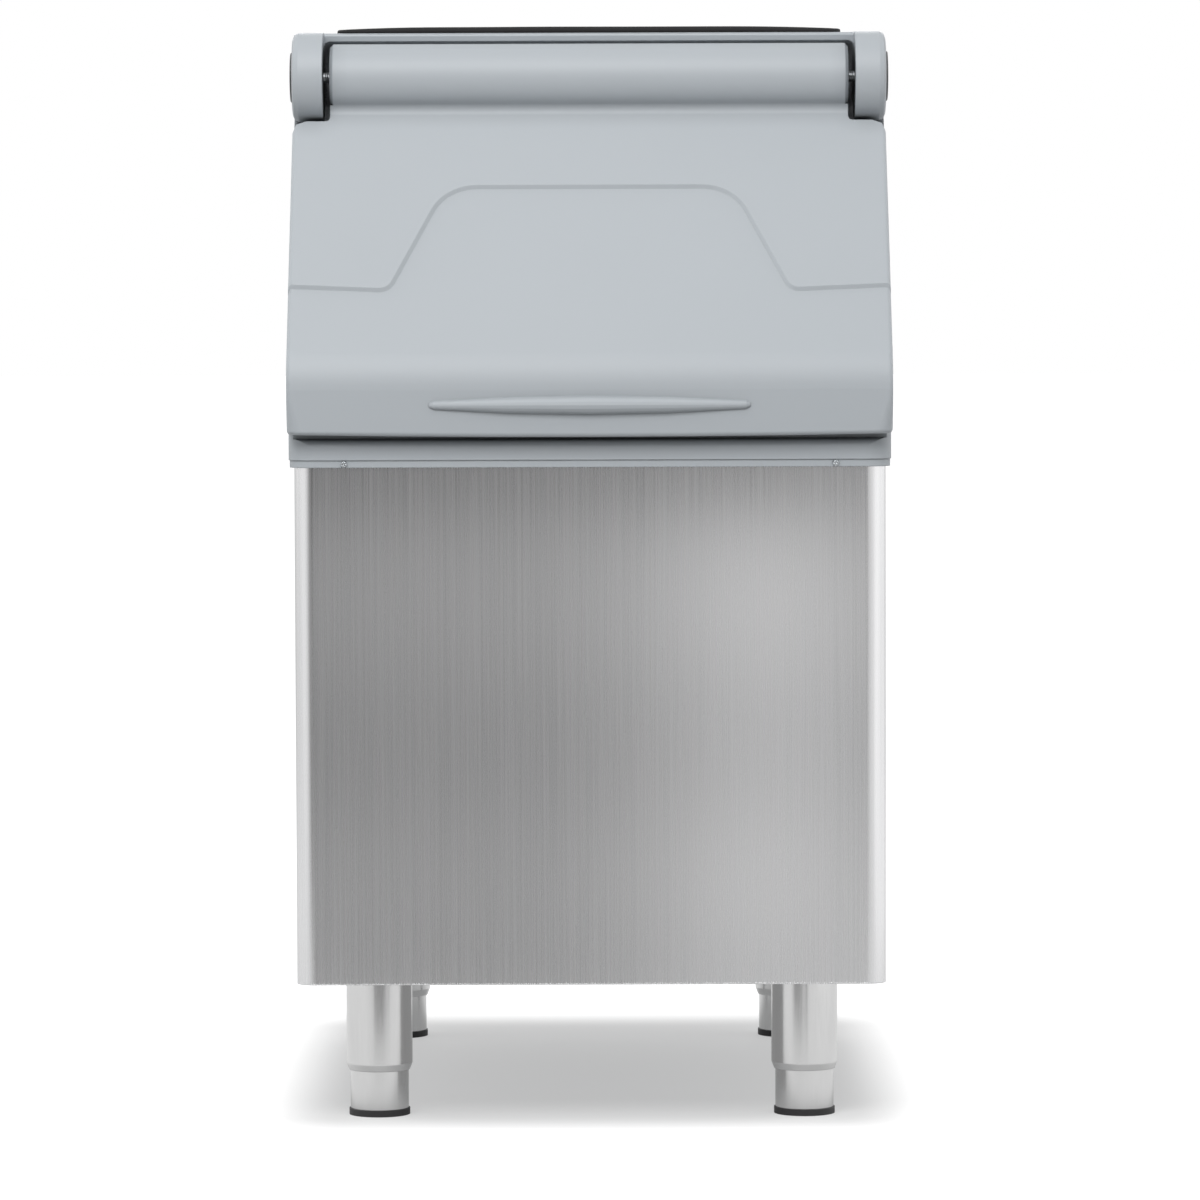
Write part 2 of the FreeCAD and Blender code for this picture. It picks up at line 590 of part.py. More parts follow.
def make_hood():
    body = new_body("hood")
    frame = "(at.back - dim.seal_gap)"
    frame_y = "(at.back_y + dim.seal_gap)"
    sill_z = "(at.wrap_top + dim.sill_rise)"
    side = outline(body, "hood_side", "YZ_Plane", [
        ("at.hood_front", "at.skirt_z"),
        ("at.hood_rear", "at.skirt_z"),
        ("at.hood_rear", "at.deck_z"),
        ("at.axis_y + dim.deck_lead", "at.deck_z"),
        (slope_y(frame, "0"), slope_z(frame, "0")),
        (frame_y, bend_z(frame, frame_y), "dim.door_bend - dim.door_thick - dim.seal_gap"),
        (frame_y, sill_z),
        ("at.hood_front", sill_z, "dim.rail_radius"),
    ])
    pad(body, side, "2 * at.hood_x", both_ways=True)
    trim_hood(body, "hood_trim", "0", "at.deck_z - at.skirt_z")
    top = number("at.deck_z")
    start = number("at.axis_y + dim.deck_lead")
    round_edges(body, "hood_top_edges", "dim.hood_edge", lambda edge: near(edge.BoundBox.ZMin, top)
                and edge.BoundBox.YMax > start + 1)
    for name, sign in SIDES:
        add_ear(body, name, sign)
    cut_trough(body)
    trim_hood(body, "hood_lip", "dim.rail_proud", "dim.lip_height")
    out = "at.front_y - 4 * dim.door_reach"
    inner_y = "(at.front_y + dim.sill_depth)"
    stop_z = "(at.wrap_top + dim.stop_rise)"
    header_z = "(at.axis_z - dim.header_drop)"
    deck_y = "(at.front_y + dim.deck_front)"
    ceiling = "(at.deck_z - dim.deck_thick)"
    wall_y = "(at.rear_y - dim.hood_rear_wall)"
    cavity = outline(body, "hood_cavity", "YZ_Plane", [
        (inner_y, "at.skirt_z"),
        (wall_y, "at.skirt_z"),
        (wall_y, ceiling, "dim.inside_radius"),
        (deck_y, ceiling),
        (deck_y, header_z),
        (out, header_z),
        (out, stop_z),
        (inner_y, stop_z),
    ])
    pocket(body, cavity, "2 * (at.half - dim.cheek_inset)", both_ways=True)
    opening_x = "(at.half - dim.deck_side)"
    opening = outline(body, "hood_drop_opening", "XY_Plane", box_corners(
        f"-{opening_x}", deck_y, opening_x, "at.rear_y - dim.deck_rear", "dim.deck_radius"), "at.deck_z")
    pocket(body, opening, "dim.deck_thick")
    seat = outline(body, "hood_seat", "XY_Plane", cabinet_plan("dim.fit_gap"), "at.skirt_z")
    pocket(body, seat, "dim.skirt_lap", along_normal=True)
    bore = circles(body, "hood_bores", "YZ_Plane", [("at.axis_y", "at.axis_z")],
                   "dim.bolt_radius + dim.fit_gap")
    pocket(body, bore, "2 * at.ear_x", both_ways=True)
    return node(body, "hood")


def cut_trough(body):
    """The trough that the barrel turns in, and the rounded front edge of the deck behind it."""
    radius = "(dim.barrel_radius + dim.trough_gap)"
    low = f"{radius} - dim.trough_corner"
    share = "dim.bevel_share * dim.trough_corner"
    trough = new_sketch(body, "hood_trough", "XZ_Plane", "-at.axis_y", "at.axis_z")
    draw(trough, [
        ("-at.ear_inner", "0"),
        ("at.ear_inner", "0"),
        ("at.ear_inner", low),
        (f"at.ear_inner - {share}", f"{radius} - {share}"),
        ("at.ear_inner - dim.trough_corner", radius),
        ("dim.trough_corner - at.ear_inner", radius),
        (f"{share} - at.ear_inner", f"{radius} - {share}"),
        ("-at.ear_inner", low),
    ])
    groove = body.newObject("PartDesign::Groove", "hood_trough_turn")
    groove.Profile = trough
    groove.ReferenceAxis = (trough, ["H_Axis"])
    doc.recompute()
    lead = "(at.axis_y + dim.deck_lead)"
    share = "dim.bevel_share * dim.deck_nose"
    nose = outline(body, "hood_nose", "YZ_Plane", [
        (f"{lead} + dim.deck_nose", "at.deck_z"),
        (f"{lead} + {share}", f"at.deck_z - {share}"),
        (lead, "at.deck_z - dim.deck_nose"),
        (f"{lead} - dim.deck_nose", "at.deck_z - dim.deck_nose"),
        (f"{lead} - dim.deck_nose", "at.deck_z + dim.deck_nose"),
        (f"{lead} + dim.deck_nose", "at.deck_z + dim.deck_nose"),
    ])
    pocket(body, nose, "2 * at.ear_inner", both_ways=True)


def cabinet_plan(grow):
    """Plan of the cabinet grown outwards, with its wide front and narrow rear corners."""
    return [
        (f"-at.half - {grow}", f"at.front_y - {grow}", f"dim.corner_radius + {grow}"),
        (f"at.half + {grow}", f"at.front_y - {grow}", f"dim.corner_radius + {grow}"),
        (f"at.half + {grow}", f"at.rear_y + {grow}", f"dim.rear_bend + {grow}"),
        (f"-at.half - {grow}", f"at.rear_y + {grow}", f"dim.rear_bend + {grow}"),
    ]


def trim_hood(body, name, inset, height):
    """Cuts away what lies outside the hood's rounded plan, from the skirt's edge upwards."""
    ring = new_sketch(body, name, "XY_Plane", "at.skirt_z")
    room = "2 * dim.corner_radius"
    draw(ring, box_corners(f"-at.hood_x - {room}", f"at.hood_front - {room}",
                           f"at.hood_x + {room}", f"at.hood_rear + {room}"))
    draw(ring, cabinet_plan(f"(at.hood_grow - {inset})"))
    pocket(body, ring, height, along_normal=True)


def add_ear(body, name, sign):
    """A round ear on the hinge axis, with a counterbore for the bolt's head and the pivot cap."""
    share = "dim.bevel_share * dim.ear_edge"
    ear = new_sketch(body, f"hood_ear_{name}", "XZ_Plane", "-at.axis_y", "at.axis_z")
    corners = [
        (f"{sign} * at.ear_inner", "0"),
        (f"{sign} * at.ear_x", "0"),
        (f"{sign} * at.ear_x", "dim.ear_radius - dim.ear_edge"),
        (f"{sign} * (at.ear_x - {share})", f"dim.ear_radius - {share}"),
        (f"{sign} * (at.ear_x - dim.ear_edge)", "dim.ear_radius"),
        (f"{sign} * at.ear_inner", "dim.ear_radius"),
    ]
    draw(ear, corners)
    feature = body.newObject("PartDesign::Revolution", f"hood_ear_{name}_turn")
    feature.Profile = ear
    feature.ReferenceAxis = (ear, ["H_Axis"])
    doc.recompute()
    seat = circles(body, f"hood_cap_seat_{name}", "YZ_Plane", [("at.axis_y", "at.axis_z")],
                   "dim.cap_seat_radius", f"{sign} * at.ear_x")
    pocket(body, seat, "dim.cap_seat_depth", along_normal=sign == "-1")


def make_gasket():
    body = new_body("top_gasket")
    side = "(at.half - dim.gasket_side)"
    front = "at.front_y + dim.gasket_front"
    rear = "at.rear_y - dim.gasket_rear"
    strip = "dim.gasket_strip"
    ring = new_sketch(body, "gasket_ring", "XY_Plane", "at.deck_z")
    draw(ring, box_corners(f"-{side}", front, side, rear, "dim.gasket_radius"))
    draw(ring, box_corners(f"-{side} + {strip}", f"{front} + {strip}",
                           f"{side} - {strip}", f"{rear} - {strip}"))
    pad(body, ring, "dim.gasket_thick")
    return node(body, "top_gasket")


# Sloping door

def make_door_shell():
    body = new_body("door_moulding")
    side = outline(body, "door_side", "YZ_Plane", [
        (slope_y("at.face", "0"), slope_z("at.face", "0")),
        ("at.face_y", bend_z("at.face", "at.face_y"), "dim.door_bend"),
        ("at.face_y", "at.door_bottom"),
        ("at.back_y", "at.door_bottom"),
        ("at.back_y", bend_z("at.back", "at.back_y"), "dim.door_bend - dim.door_thick"),
        (slope_y("at.back", "0"), slope_z("at.back", "0")),
    ])
    pad(body, side, "2 * at.door_x", both_ways=True)
    add_raised_face(body)
    barrel = circles(body, "door_barrel", "YZ_Plane", [("at.axis_y", "at.axis_z")], "dim.barrel_radius")
    pad(body, barrel, "2 * at.barrel_x", both_ways=True)
    raised = number("-dim.face_drop")
    meeting = math.sqrt(number("dim.barrel_radius") ** 2 - raised ** 2)
    crease_z = number(slope_z("-dim.face_drop", str(meeting)))
    round_edges(body, "door_crease", "dim.crease_radius",
                lambda edge: near(middle(edge).z, crease_z) and near(middle(edge).x, 0))
    bow_door(body)
    core = outline(body, "door_core", "YZ_Plane",
                   door_layer("dim.door_wall", "dim.door_thick + dim.door_wall", "0"))
    pocket(body, core, "2 * (at.door_x - dim.door_side)", both_ways=True)
    for name, sign in SIDES:
        bore = circles(body, f"door_bore_{name}", "YZ_Plane", [("at.axis_y", "at.axis_z")],
                       "dim.bolt_radius + dim.thread_gap", f"{sign} * at.barrel_x")
        pocket(body, bore, "dim.bolt_grip + dim.bolt_room", along_normal=sign == "-1")
    add_grip(body)
    return node(notch_door(round_door(body)), "door_shell")


def add_raised_face(body):
    """The raised upper face of the door, with a drafted edge that steps down round the arch."""
    face = new_sketch(body, "door_raised_face", "XZ_Plane",
                      f"-{slope_y('at.face', '0')}", slope_z("at.face", "0"))
    tilt = FreeCAD.Rotation(FreeCAD.Vector(-1, 0, 0), number("dim.slope_angle"))
    face.AttachmentOffset = FreeCAD.Placement(face.AttachmentOffset.Base, tilt)
    face.setExpression("AttachmentOffset.Rotation.Angle", "dim.slope_angle * 1deg")
    side = "(at.door_x + dim.door_edge + dim.emboss_rise * tan(dim.emboss_draft * 1deg))"
    draw(face, [
        (f"-{side}", "-dim.emboss_outer"),
        ("-dim.arch_foot / 2", "-dim.emboss_foot", "dim.foot_radius"),
        ("-dim.arch_top / 2", "-dim.emboss_top", "dim.arch_radius"),
        ("dim.arch_top / 2", "-dim.emboss_top", "dim.arch_radius"),
        ("dim.arch_foot / 2", "-dim.emboss_foot", "dim.foot_radius"),
        (side, "-dim.emboss_outer"),
        (side, "0"),
        (f"-{side}", "0"),
    ])
    feature = pad(body, face, "dim.emboss_rise")
    feature.setExpression("TaperAngle", "-dim.emboss_draft * 1deg")
    doc.recompute()
    for name, sign in SIDES:
        edge = outline(body, f"door_trim_{name}", "YZ_Plane", box_corners(
            "at.face_y - dim.door_bend", "at.door_bottom", "at.axis_y + dim.door_bend", "at.deck_z"),
            f"{sign} * at.door_x")
        pocket(body, edge, "4 * dim.door_edge", along_normal=sign == "1")


def bow_door(body):
    """Trims the door's bottom edge to a shallow bow, lowest in the middle."""
    half = "at.door_x"
    low = "at.door_bottom - dim.door_bow"
    high = "at.door_bottom + dim.door_bow"
    sketch = new_sketch(body, "door_bow", "XZ_Plane", "-at.axis_y")
    draw(sketch, [(f"-{half}", low), (f"-{half}", high), (half, high), (half, low)],
         {1: f"({half} * {half} + dim.door_bow * dim.door_bow) / (2 * dim.door_bow)"})
    pocket(body, sketch, "2 * dim.cabinet_depth", both_ways=True)


def round_door(body):
    """Rounds the door's sides, wider towards the bottom edge, then its raised face and bottom edge."""
    side = number("at.door_x")
    face_y = number("at.face_y")
    bottom = number("at.door_bottom + dim.door_bow")
    edge_radius = number("dim.door_edge")
    corner_radius = number("dim.door_corner")

    def on_side(edge):
        return edge.BoundBox.XLength < 0.01 and near(abs(edge.BoundBox.XMin), side)

    def on_face(edge):
        return near(edge.BoundBox.YMin, face_y) and near(edge.BoundBox.YMax, face_y)

    def front_side(edge):
        return on_side(edge) and on_face(edge)

    def raised(edge):
        ends = (edge.Vertexes[0].Point - edge.Vertexes[-1].Point).Length
        return on_side(edge) and near(ends, edge.Length) and near(slope_offset(middle(edge)), raised_offset)

    def lowest(edge):
        return on_face(edge) and edge.BoundBox.ZMax < bottom

    raised_offset = -number("dim.face_drop")
    sides = varied_fillet("door_sides", body, front_side, edge_radius, corner_radius)
    upper = varied_fillet("door_upper_sides", sides, raised, edge_radius, edge_radius)
    return varied_fillet("door_bottom_edge", upper, lowest, edge_radius, edge_radius)


def notch_door(door):
    """Cuts the notch round each ear, with rounded corners, and bevels the barrel's ends."""
    notch = "(dim.ear_radius + dim.notch_gap)"
    rim = "dim.barrel_radius + dim.fit_gap"
    inner = "dim.bevel_share * dim.notch_inner"
    outer = "dim.bevel_share * dim.notch_outer"
    for name, sign in SIDES:
        tool = turned(f"door_notch_{name}", [
            ("0", "at.barrel_x"),
            ("dim.barrel_radius - dim.barrel_end", "at.barrel_x"),
            (rim, "at.barrel_x - dim.barrel_end - dim.fit_gap"),
            (rim, "at.barrel_x"),
            (f"{notch} - dim.notch_inner", "at.barrel_x"),
            (f"{notch} - {inner}", f"at.barrel_x + {inner}"),
            (notch, "at.barrel_x + dim.notch_inner"),
            (notch, "at.door_x - dim.notch_outer"),
            (f"{notch} + {outer}", f"at.door_x - {outer}"),
            (f"{notch} + dim.notch_outer", "at.door_x"),
            (f"{notch} + dim.notch_outer", "at.door_x + dim.barrel_gap"),
            ("0", "at.door_x + dim.barrel_gap"),
        ], y="at.axis_y", z="at.axis_z", rotation=TO_RIGHT if sign == "1" else TO_LEFT)
        door = cut(f"door_notched_{name}", door, tool)
    doc.recompute()
    return door


def slope_offset(point):
    """How far a point lies outwards of the sloping plane through the hinge axis."""
    forward = number("at.axis_y") - point.y
    upward = point.z - number("at.axis_z")
    return forward * number("at.slope_cos") + upward * number("at.slope_sin")


def varied_fillet(name, base, chosen, upper_radius, lower_radius):
    """Fillets the chosen edges with one radius at the upper end and another at the lower end."""
    edges = []
    for i, edge in enumerate(base.Shape.Edges, start=1):
        if chosen(edge):
            falls = edge.valueAt(edge.FirstParameter).z > edge.valueAt(edge.LastParameter).z
            radii = (upper_radius, lower_radius) if falls else (lower_radius, upper_radius)
            edges.append((i, *radii))
    feature = doc.addObject("Part::Fillet", name)
    feature.Base = base
    feature.Edges = edges
    doc.recompute()
    return feature


def door_layer(outer, inner, gap):
    """Side view of a layer of the door between two depths behind its face, inside the moulded edge."""
    top = f"dim.core_top + {gap}"
    bottom = f"at.door_bottom + dim.door_bow + 2 * dim.door_wall + {gap}"
    face = f"at.face - ({outer})"
    face_y = f"at.face_y + ({outer})"
    back = f"at.face - ({inner})"
    back_y = f"at.face_y + ({inner})"
    return [
        (slope_y(face, top), slope_z(face, top)),
        (face_y, bend_z(face, face_y), f"dim.door_bend - ({outer})"),
        (face_y, bottom),
        (back_y, bottom),
        (back_y, bend_z(back, back_y), f"dim.door_bend - ({inner})"),
        (slope_y(back, top), slope_z(back, top)),
    ]


def add_grip(body):
    """A lens-shaped ridge with a half-round section, lofted along X on the door's upright face."""
    half = "dim.grip_length / 2"
    steps = (
        (f"-{half}", "dim.grip_tip"),
        (f"dim.grip_taper - {half}", "dim.grip_end"),
        ("-dim.grip_length / 4", "dim.grip_quarter"),
        ("0", "dim.grip_radius"),
        ("dim.grip_length / 4", "dim.grip_quarter"),
        (f"{half} - dim.grip_taper", "dim.grip_end"),
        (half, "dim.grip_tip"),
    )
    sections = []
    for i, (x, radius) in enumerate(steps):
        angles = [f"({HALF_TURN} * 1deg * {k} / {GRIP_SIDES})" for k in range(GRIP_SIDES + 1)]
        sections.append(outline(body, f"door_grip_{i}", "YZ_Plane", [
            (f"at.face_y + dim.grip_sink - {radius} * sin({angle})",
             f"at.wrap_top + dim.grip_height + {radius} * cos({angle})")
            for angle in angles
        ], x))
    feature = body.newObject("PartDesign::AdditiveLoft", "door_grip_loft")
    feature.Profile = sections[0]
    feature.Sections = sections[1:]
    feature.Ruled = True
    doc.recompute()


def make_door_layers():
    for name, outer, inner in (
        ("door_core_foam", "dim.door_wall + dim.fit_gap", "dim.door_thick - dim.panel_wall - dim.fit_gap"),
        ("door_inner_panel", "dim.door_thick - dim.panel_wall", "dim.door_thick"),
    ):
        body = new_body(name)
        layer = outline(body, f"{name}_side", "YZ_Plane", door_layer(outer, inner, "dim.fit_gap"))
        pad(body, layer, "2 * (at.door_x - dim.door_side - dim.fit_gap)", both_ways=True)
        node(body, name)


# Hinge: profiles run outwards along the axis from the middle of the bin

def make_hinge():
    caps = []
    seat = "(at.ear_x - dim.cap_seat_depth)"
    head = f"({seat} + dim.fit_gap)"
    for name, sign in SIDES:
        out = TO_RIGHT if sign == "1" else TO_LEFT
        axis = {"y": "at.axis_y", "z": "at.axis_z", "rotation": out}
        shank = turned(f"hinge_shank_{name}", [
            ("0", "at.barrel_x - dim.bolt_grip"),
            ("dim.bolt_radius", "at.barrel_x - dim.bolt_grip"),
            ("dim.bolt_radius", head),
            ("0", head),
        ], **axis)
        hexagon_head = hexagon(f"hinge_head_{name}", "dim.bolt_head", "dim.bolt_head_height",
                               f"{sign} * {head}", "at.axis_y", "at.axis_z", out)
        bolt = doc.addObject("Part::Fuse", f"hinge_bolt_{name}")
        bolt.Base = shank
        bolt.Tool = hexagon_head
        node(bolt, f"hinge_bolt_{name}")
        caps.append(turned(f"pivot_cap_{name}", [
            ("0", "at.ear_x"),
            ("dim.cap_radius", "at.ear_x"),
            ("dim.cap_radius", "at.ear_x + dim.cap_proud - dim.cap_edge"),
            ("dim.cap_radius - dim.cap_edge", "at.ear_x + dim.cap_proud"),
            ("0", "at.ear_x + dim.cap_proud"),
        ], **axis))
    group("pivot_caps", caps)


# Drain, along +Y from the inside of the liner's rear wall

def make_drain():
    wall = "(at.liner_rear - dim.liner_wall)"
    mouth = f"({wall} - dim.drain_flange_wall)"
    bore_start = f"({mouth} + dim.grate_wall)"
    thread_end = "(at.rear_y + dim.drain_nut_height + dim.drain_thread_end)"
    end = "(at.rear_y + dim.drain_reach)"
    bulkhead = turned("drain_bulkhead", [
        ("0", mouth),
        ("dim.drain_flange", mouth),
        ("dim.drain_flange", wall),
        ("dim.drain_radius", wall),
        ("dim.drain_radius", thread_end),
        ("dim.spigot_radius", thread_end),
        ("dim.spigot_radius", end),
        ("dim.drain_bore", end),
        ("dim.drain_bore", bore_start),
        ("0", bore_start),
    ], z="at.drain_z", rotation=TO_REAR)
    doc.recompute()
    slot = outline(bulkhead, "grate_slot", "XY_Plane", box_corners(
        "dim.grate_slot", "-dim.grate_slot / 2", "dim.drain_bore - dim.fit_gap", "dim.grate_slot / 2"),
        mouth)
    slots = pocket(bulkhead, slot, "dim.grate_wall", along_normal=True)
    pattern = bulkhead.newObject("PartDesign::PolarPattern", "grate_slots")
    pattern.Originals = [slots]
    pattern.Axis = (slot, ["N_Axis"])
    pattern.setExpression("Occurrences", "dim.grate_slots")
    bulkhead.Tip = pattern
    node(bulkhead, "drain_bulkhead")
    nut = hexagon("drain_nut_blank", "dim.drain_nut_radius", "dim.drain_nut_height", y="at.rear_y",
                  z="at.drain_z", rotation=TO_REAR)
    bore = rod("drain_nut_bore", "dim.drain_radius + dim.thread_gap", "dim.drain_nut_height", y="at.rear_y",
               z="at.drain_z", rotation=TO_REAR)
    node(cut("drain_locknut", nut, bore), "drain_locknut")


# Legs and feet

def make_legs():
    """Leg sleeves, and a foot that goes up and down in each."""
    sleeves = []
    for name, x, y in LEGS:
        sleeves.append(make_leg(name, x, y))
        make_foot(name, x, y)
    group("leg_sleeves", sleeves)


def make_leg(name, x, y):
    mouth = "(dim.cup_radius + dim.cup_gap)"
    return turned(f"leg_sleeve_{name}", [
        (mouth, "dim.sleeve_foot"),
        (f"{mouth} + dim.sleeve_lip", "dim.sleeve_foot"),
        ("dim.sleeve_radius", "dim.sleeve_foot + dim.sleeve_neck"),
        ("dim.sleeve_radius", "at.pan_z"),
        ("0", "at.pan_z"),
        ("0", "dim.sleeve_roof"),
        (mouth, "dim.sleeve_roof"),
    ], x, y)


def make_foot(name, x, y):
    node(turned(f"foot_tube_{name}", [
        ("0", "dim.pad_height"),
        ("dim.cup_radius", "dim.pad_height"),
        ("dim.cup_radius", "dim.cup_top"),
        ("0", "dim.cup_top"),
    ], x, y), f"foot_tube_{name}")
    node(turned(f"foot_pad_{name}", [
        ("0", "0"),
        ("dim.pad_radius", "0"),
        ("dim.pad_radius", "dim.pad_height"),
        ("0", "dim.pad_height"),
    ], x, y), f"foot_pad_{name}")


fill(dim, [(alias, str(size)) for alias, size, meaning in SIZES])
for row, (alias, size, meaning) in enumerate(SIZES, start=1):
    dim.set(f"B{row}", meaning)
fill(at, [(alias, f"={formula}") for alias, formula in PLACES])
doc.recompute()
make_wrap()
make_rear_panel()
make_base_pan()
make_liner()
make_insulation()
make_hood()
make_gasket()
make_door_shell()
make_door_layers()
make_hinge()
make_drain()
make_legs()
doc.recompute()

failed = [item.Name for item in doc.Objects if "Invalid" in item.State or "Error" in item.State]
if failed:
    raise RuntimeError(f"not built: {failed}")
for item in nodes:
    if item.Shape.isNull() or not item.Shape.isValid():
        raise RuntimeError(f"{item.Label} is not a valid shape")
os.makedirs("parts", exist_ok=True)
for item in nodes:
    item.Shape.exportStep(f"parts/{item.Label}.step")
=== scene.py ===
# %% [markdown]
# # An ice storage bin
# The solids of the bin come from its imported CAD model. This script gives them their finishes, adds the small
# trim that the solids leave out, and sets up a plain studio with a camera where the photographer stood.
# Everything is in metres: +Z is up, and the door faces -Y.

# %% Load the frame
import json
import math

import bmesh
import bpy
from mathutils import Matrix, Vector, noise


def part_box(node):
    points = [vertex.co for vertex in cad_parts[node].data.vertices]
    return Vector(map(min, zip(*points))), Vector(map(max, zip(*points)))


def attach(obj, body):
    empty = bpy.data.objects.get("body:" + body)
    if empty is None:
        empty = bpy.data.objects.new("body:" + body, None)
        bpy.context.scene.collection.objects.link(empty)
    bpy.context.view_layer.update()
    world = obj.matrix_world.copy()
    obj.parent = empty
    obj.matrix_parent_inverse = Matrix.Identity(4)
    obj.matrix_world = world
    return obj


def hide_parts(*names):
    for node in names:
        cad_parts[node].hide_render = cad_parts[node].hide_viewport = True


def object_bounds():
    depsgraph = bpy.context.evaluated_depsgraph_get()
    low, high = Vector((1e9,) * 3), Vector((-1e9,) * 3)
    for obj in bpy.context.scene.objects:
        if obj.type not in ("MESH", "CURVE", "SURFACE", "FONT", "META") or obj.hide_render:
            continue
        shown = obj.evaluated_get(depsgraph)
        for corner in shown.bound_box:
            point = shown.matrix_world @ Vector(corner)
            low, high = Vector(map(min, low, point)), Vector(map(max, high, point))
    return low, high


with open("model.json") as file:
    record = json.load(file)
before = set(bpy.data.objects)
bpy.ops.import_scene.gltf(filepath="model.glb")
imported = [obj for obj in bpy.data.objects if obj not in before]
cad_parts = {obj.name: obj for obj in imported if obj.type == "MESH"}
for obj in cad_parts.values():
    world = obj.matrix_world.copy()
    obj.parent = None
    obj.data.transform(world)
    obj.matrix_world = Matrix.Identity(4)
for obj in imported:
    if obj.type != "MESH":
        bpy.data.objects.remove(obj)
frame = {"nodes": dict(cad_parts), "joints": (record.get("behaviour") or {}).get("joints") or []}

cad_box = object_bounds()
nodes = frame["nodes"]
scene = bpy.context.scene
scene.view_settings.view_transform = "Standard"
MM = 0.001

# %% [markdown]
# ## The camera
# A photographer of catalogue goods stands well back with a long lens, so upright edges stay nearly parallel.
# The bin's own proportions in the picture give the distance, the height and the tilt. They could be found by
# trial, but here they are written as what they are: a distance in metres, a tilt in degrees and a focal length.

# %% Camera
PHOTO_SIDE_PX = 1200
FOCAL_PX = 6041
SENSOR_MM = 36
wrap_low, wrap_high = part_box("cabinet_wrap")
CAMERA_DISTANCE = 5.70
CAMERA_HEIGHT = 0.812
CAMERA_ASIDE = 0.0101
CAMERA_TILT = math.radians(3.14)
CAMERA_ROLL = math.radians(0.18)

camera = bpy.data.objects.new("camera", bpy.data.cameras.new("camera"))
scene.collection.objects.link(camera)
camera.data.sensor_width = SENSOR_MM
camera.data.lens = SENSOR_MM * FOCAL_PX / PHOTO_SIDE_PX
camera.location = (CAMERA_ASIDE, wrap_low.y - CAMERA_DISTANCE, CAMERA_HEIGHT)
camera.rotation_euler = (math.radians(90) - CAMERA_TILT, CAMERA_ROLL, 0)
scene.camera = camera
print("lens", round(camera.data.lens, 1), "mm at", [round(v, 3) for v in camera.location])

# %% [markdown]
# ## Helpers for materials
# Colours are written as a painter's hex values and turned to linear light by one function. A second one adds
# a node to a tree, sets its values and links its inputs, so that each material below reads as a short recipe.

# %% Helpers for materials
def linear(hex_colour):
    """Linear RGBA of an sRGB hex colour."""
    channels = [int(hex_colour[i:i + 2], 16) / 255 for i in (1, 3, 5)]
    curve = [c / 12.92 if c <= 0.04045 else ((c + 0.055) / 1.055) ** 2.4 for c in channels]
    return (*curve, 1.0)


def add(tree, kind, inputs=None, **settings):
    """Adds a node: settings are its properties, and inputs are values or sockets to link from."""
    made = tree.nodes.new(f"ShaderNode{kind}")
    for key, value in settings.items():
        setattr(made, key, value)
    for key, value in (inputs or {}).items():
        if isinstance(value, bpy.types.NodeSocket):
            tree.links.new(value, made.inputs[key])
        else:
            made.inputs[key].default_value = value
    return made


def new_material(name):
    """An empty material, and its node tree."""
    material = bpy.data.materials.new(name)
    material.use_nodes = True
    material.node_tree.nodes.clear()
    return material, material.node_tree


def dress(material, *names):
    """Gives CAD nodes one material."""
    for name in names:
        nodes[name].data.materials.clear()
        nodes[name].data.materials.append(material)


print("helpers ready")

# %% [markdown]
# ## The floor
# The bin stands on a roll of white paper. Lit paper alone would turn grey with distance, so away from the bin
# it glows white to the camera and to mirrors. In a soft-edged rectangle under the cabinet the glow is weaker:
# the shadow there is partly the lamps' real shadow and partly painted shadow, whose outline the rectangle
# draws.
# The paper stops short of the photographer, as it does in a studio.

# %% Floor
PAPER_REACH = 40
PAPER_FRONT = -2.1
SHADOW_SIDE = (0.235, 0.365)
SHADOW_ENDS = (0.33, 0.52)
SHADOW_MIDDLE = 0.02
SHADOW_LIFT = 0.42
MIRROR_SHARE = 0.6
floor_mesh = bpy.data.meshes.new("floor")
corners = [(-PAPER_REACH, PAPER_FRONT, 0), (PAPER_REACH, PAPER_FRONT, 0),
           (PAPER_REACH, PAPER_REACH, 0), (-PAPER_REACH, PAPER_REACH, 0)]
floor_mesh.from_pydata(corners, [], [(0, 1, 2, 3)])
floor = bpy.data.objects.new("floor", floor_mesh)
scene.collection.objects.link(floor)

paper, tree = new_material("white_paper")
floor_mesh.materials.append(paper)
path = add(tree, "LightPath")
seen = add(tree, "Math", {0: path.outputs["Is Camera Ray"], 1: path.outputs["Is Transmission Ray"]},
           operation="MAXIMUM")
spot = add(tree, "SeparateXYZ", {0: add(tree, "NewGeometry").outputs["Position"]})
aside = add(tree, "Math", {0: spot.outputs["X"]}, operation="ABSOLUTE")
along = add(tree, "Math", {0: spot.outputs["Y"], 1: SHADOW_MIDDLE}, operation="SUBTRACT")
along = add(tree, "Math", {0: along.outputs[0]}, operation="ABSOLUTE")
# Painted shadow: the glow is weaker in a soft-edged rectangle under the cabinet, which draws the shadow's
# outline.
inside = [add(tree, "MapRange", {"Value": way.outputs[0], "From Min": reach[0], "From Max": reach[1],
                                 "To Min": 1.0, "To Max": 0.0}, interpolation_type="SMOOTHSTEP")
          for way, reach in ((aside, SHADOW_SIDE), (along, SHADOW_ENDS))]
under = add(tree, "Math", {0: inside[0].outputs[0], 1: inside[1].outputs[0]}, operation="MULTIPLY")
lift = add(tree, "MapRange", {"Value": under.outputs[0], "To Min": 1.0, "To Max": SHADOW_LIFT})
looks = add(tree, "Math", {0: path.outputs["Is Glossy Ray"], 1: MIRROR_SHARE, 2: seen.outputs[0]},
            operation="MULTIPLY_ADD")
glow = add(tree, "Math", {0: lift.outputs[0], 1: looks.outputs[0]}, operation="MULTIPLY")
lit = add(tree, "BsdfDiffuse", {"Color": linear("#a8a8a8")})
white = add(tree, "Emission", {"Color": linear("#ffffff"), "Strength": glow.outputs[0]})
both = add(tree, "AddShader", {0: lit.outputs[0], 1: white.outputs[0]})
add(tree, "OutputMaterial", {"Surface": both.outputs[0]})
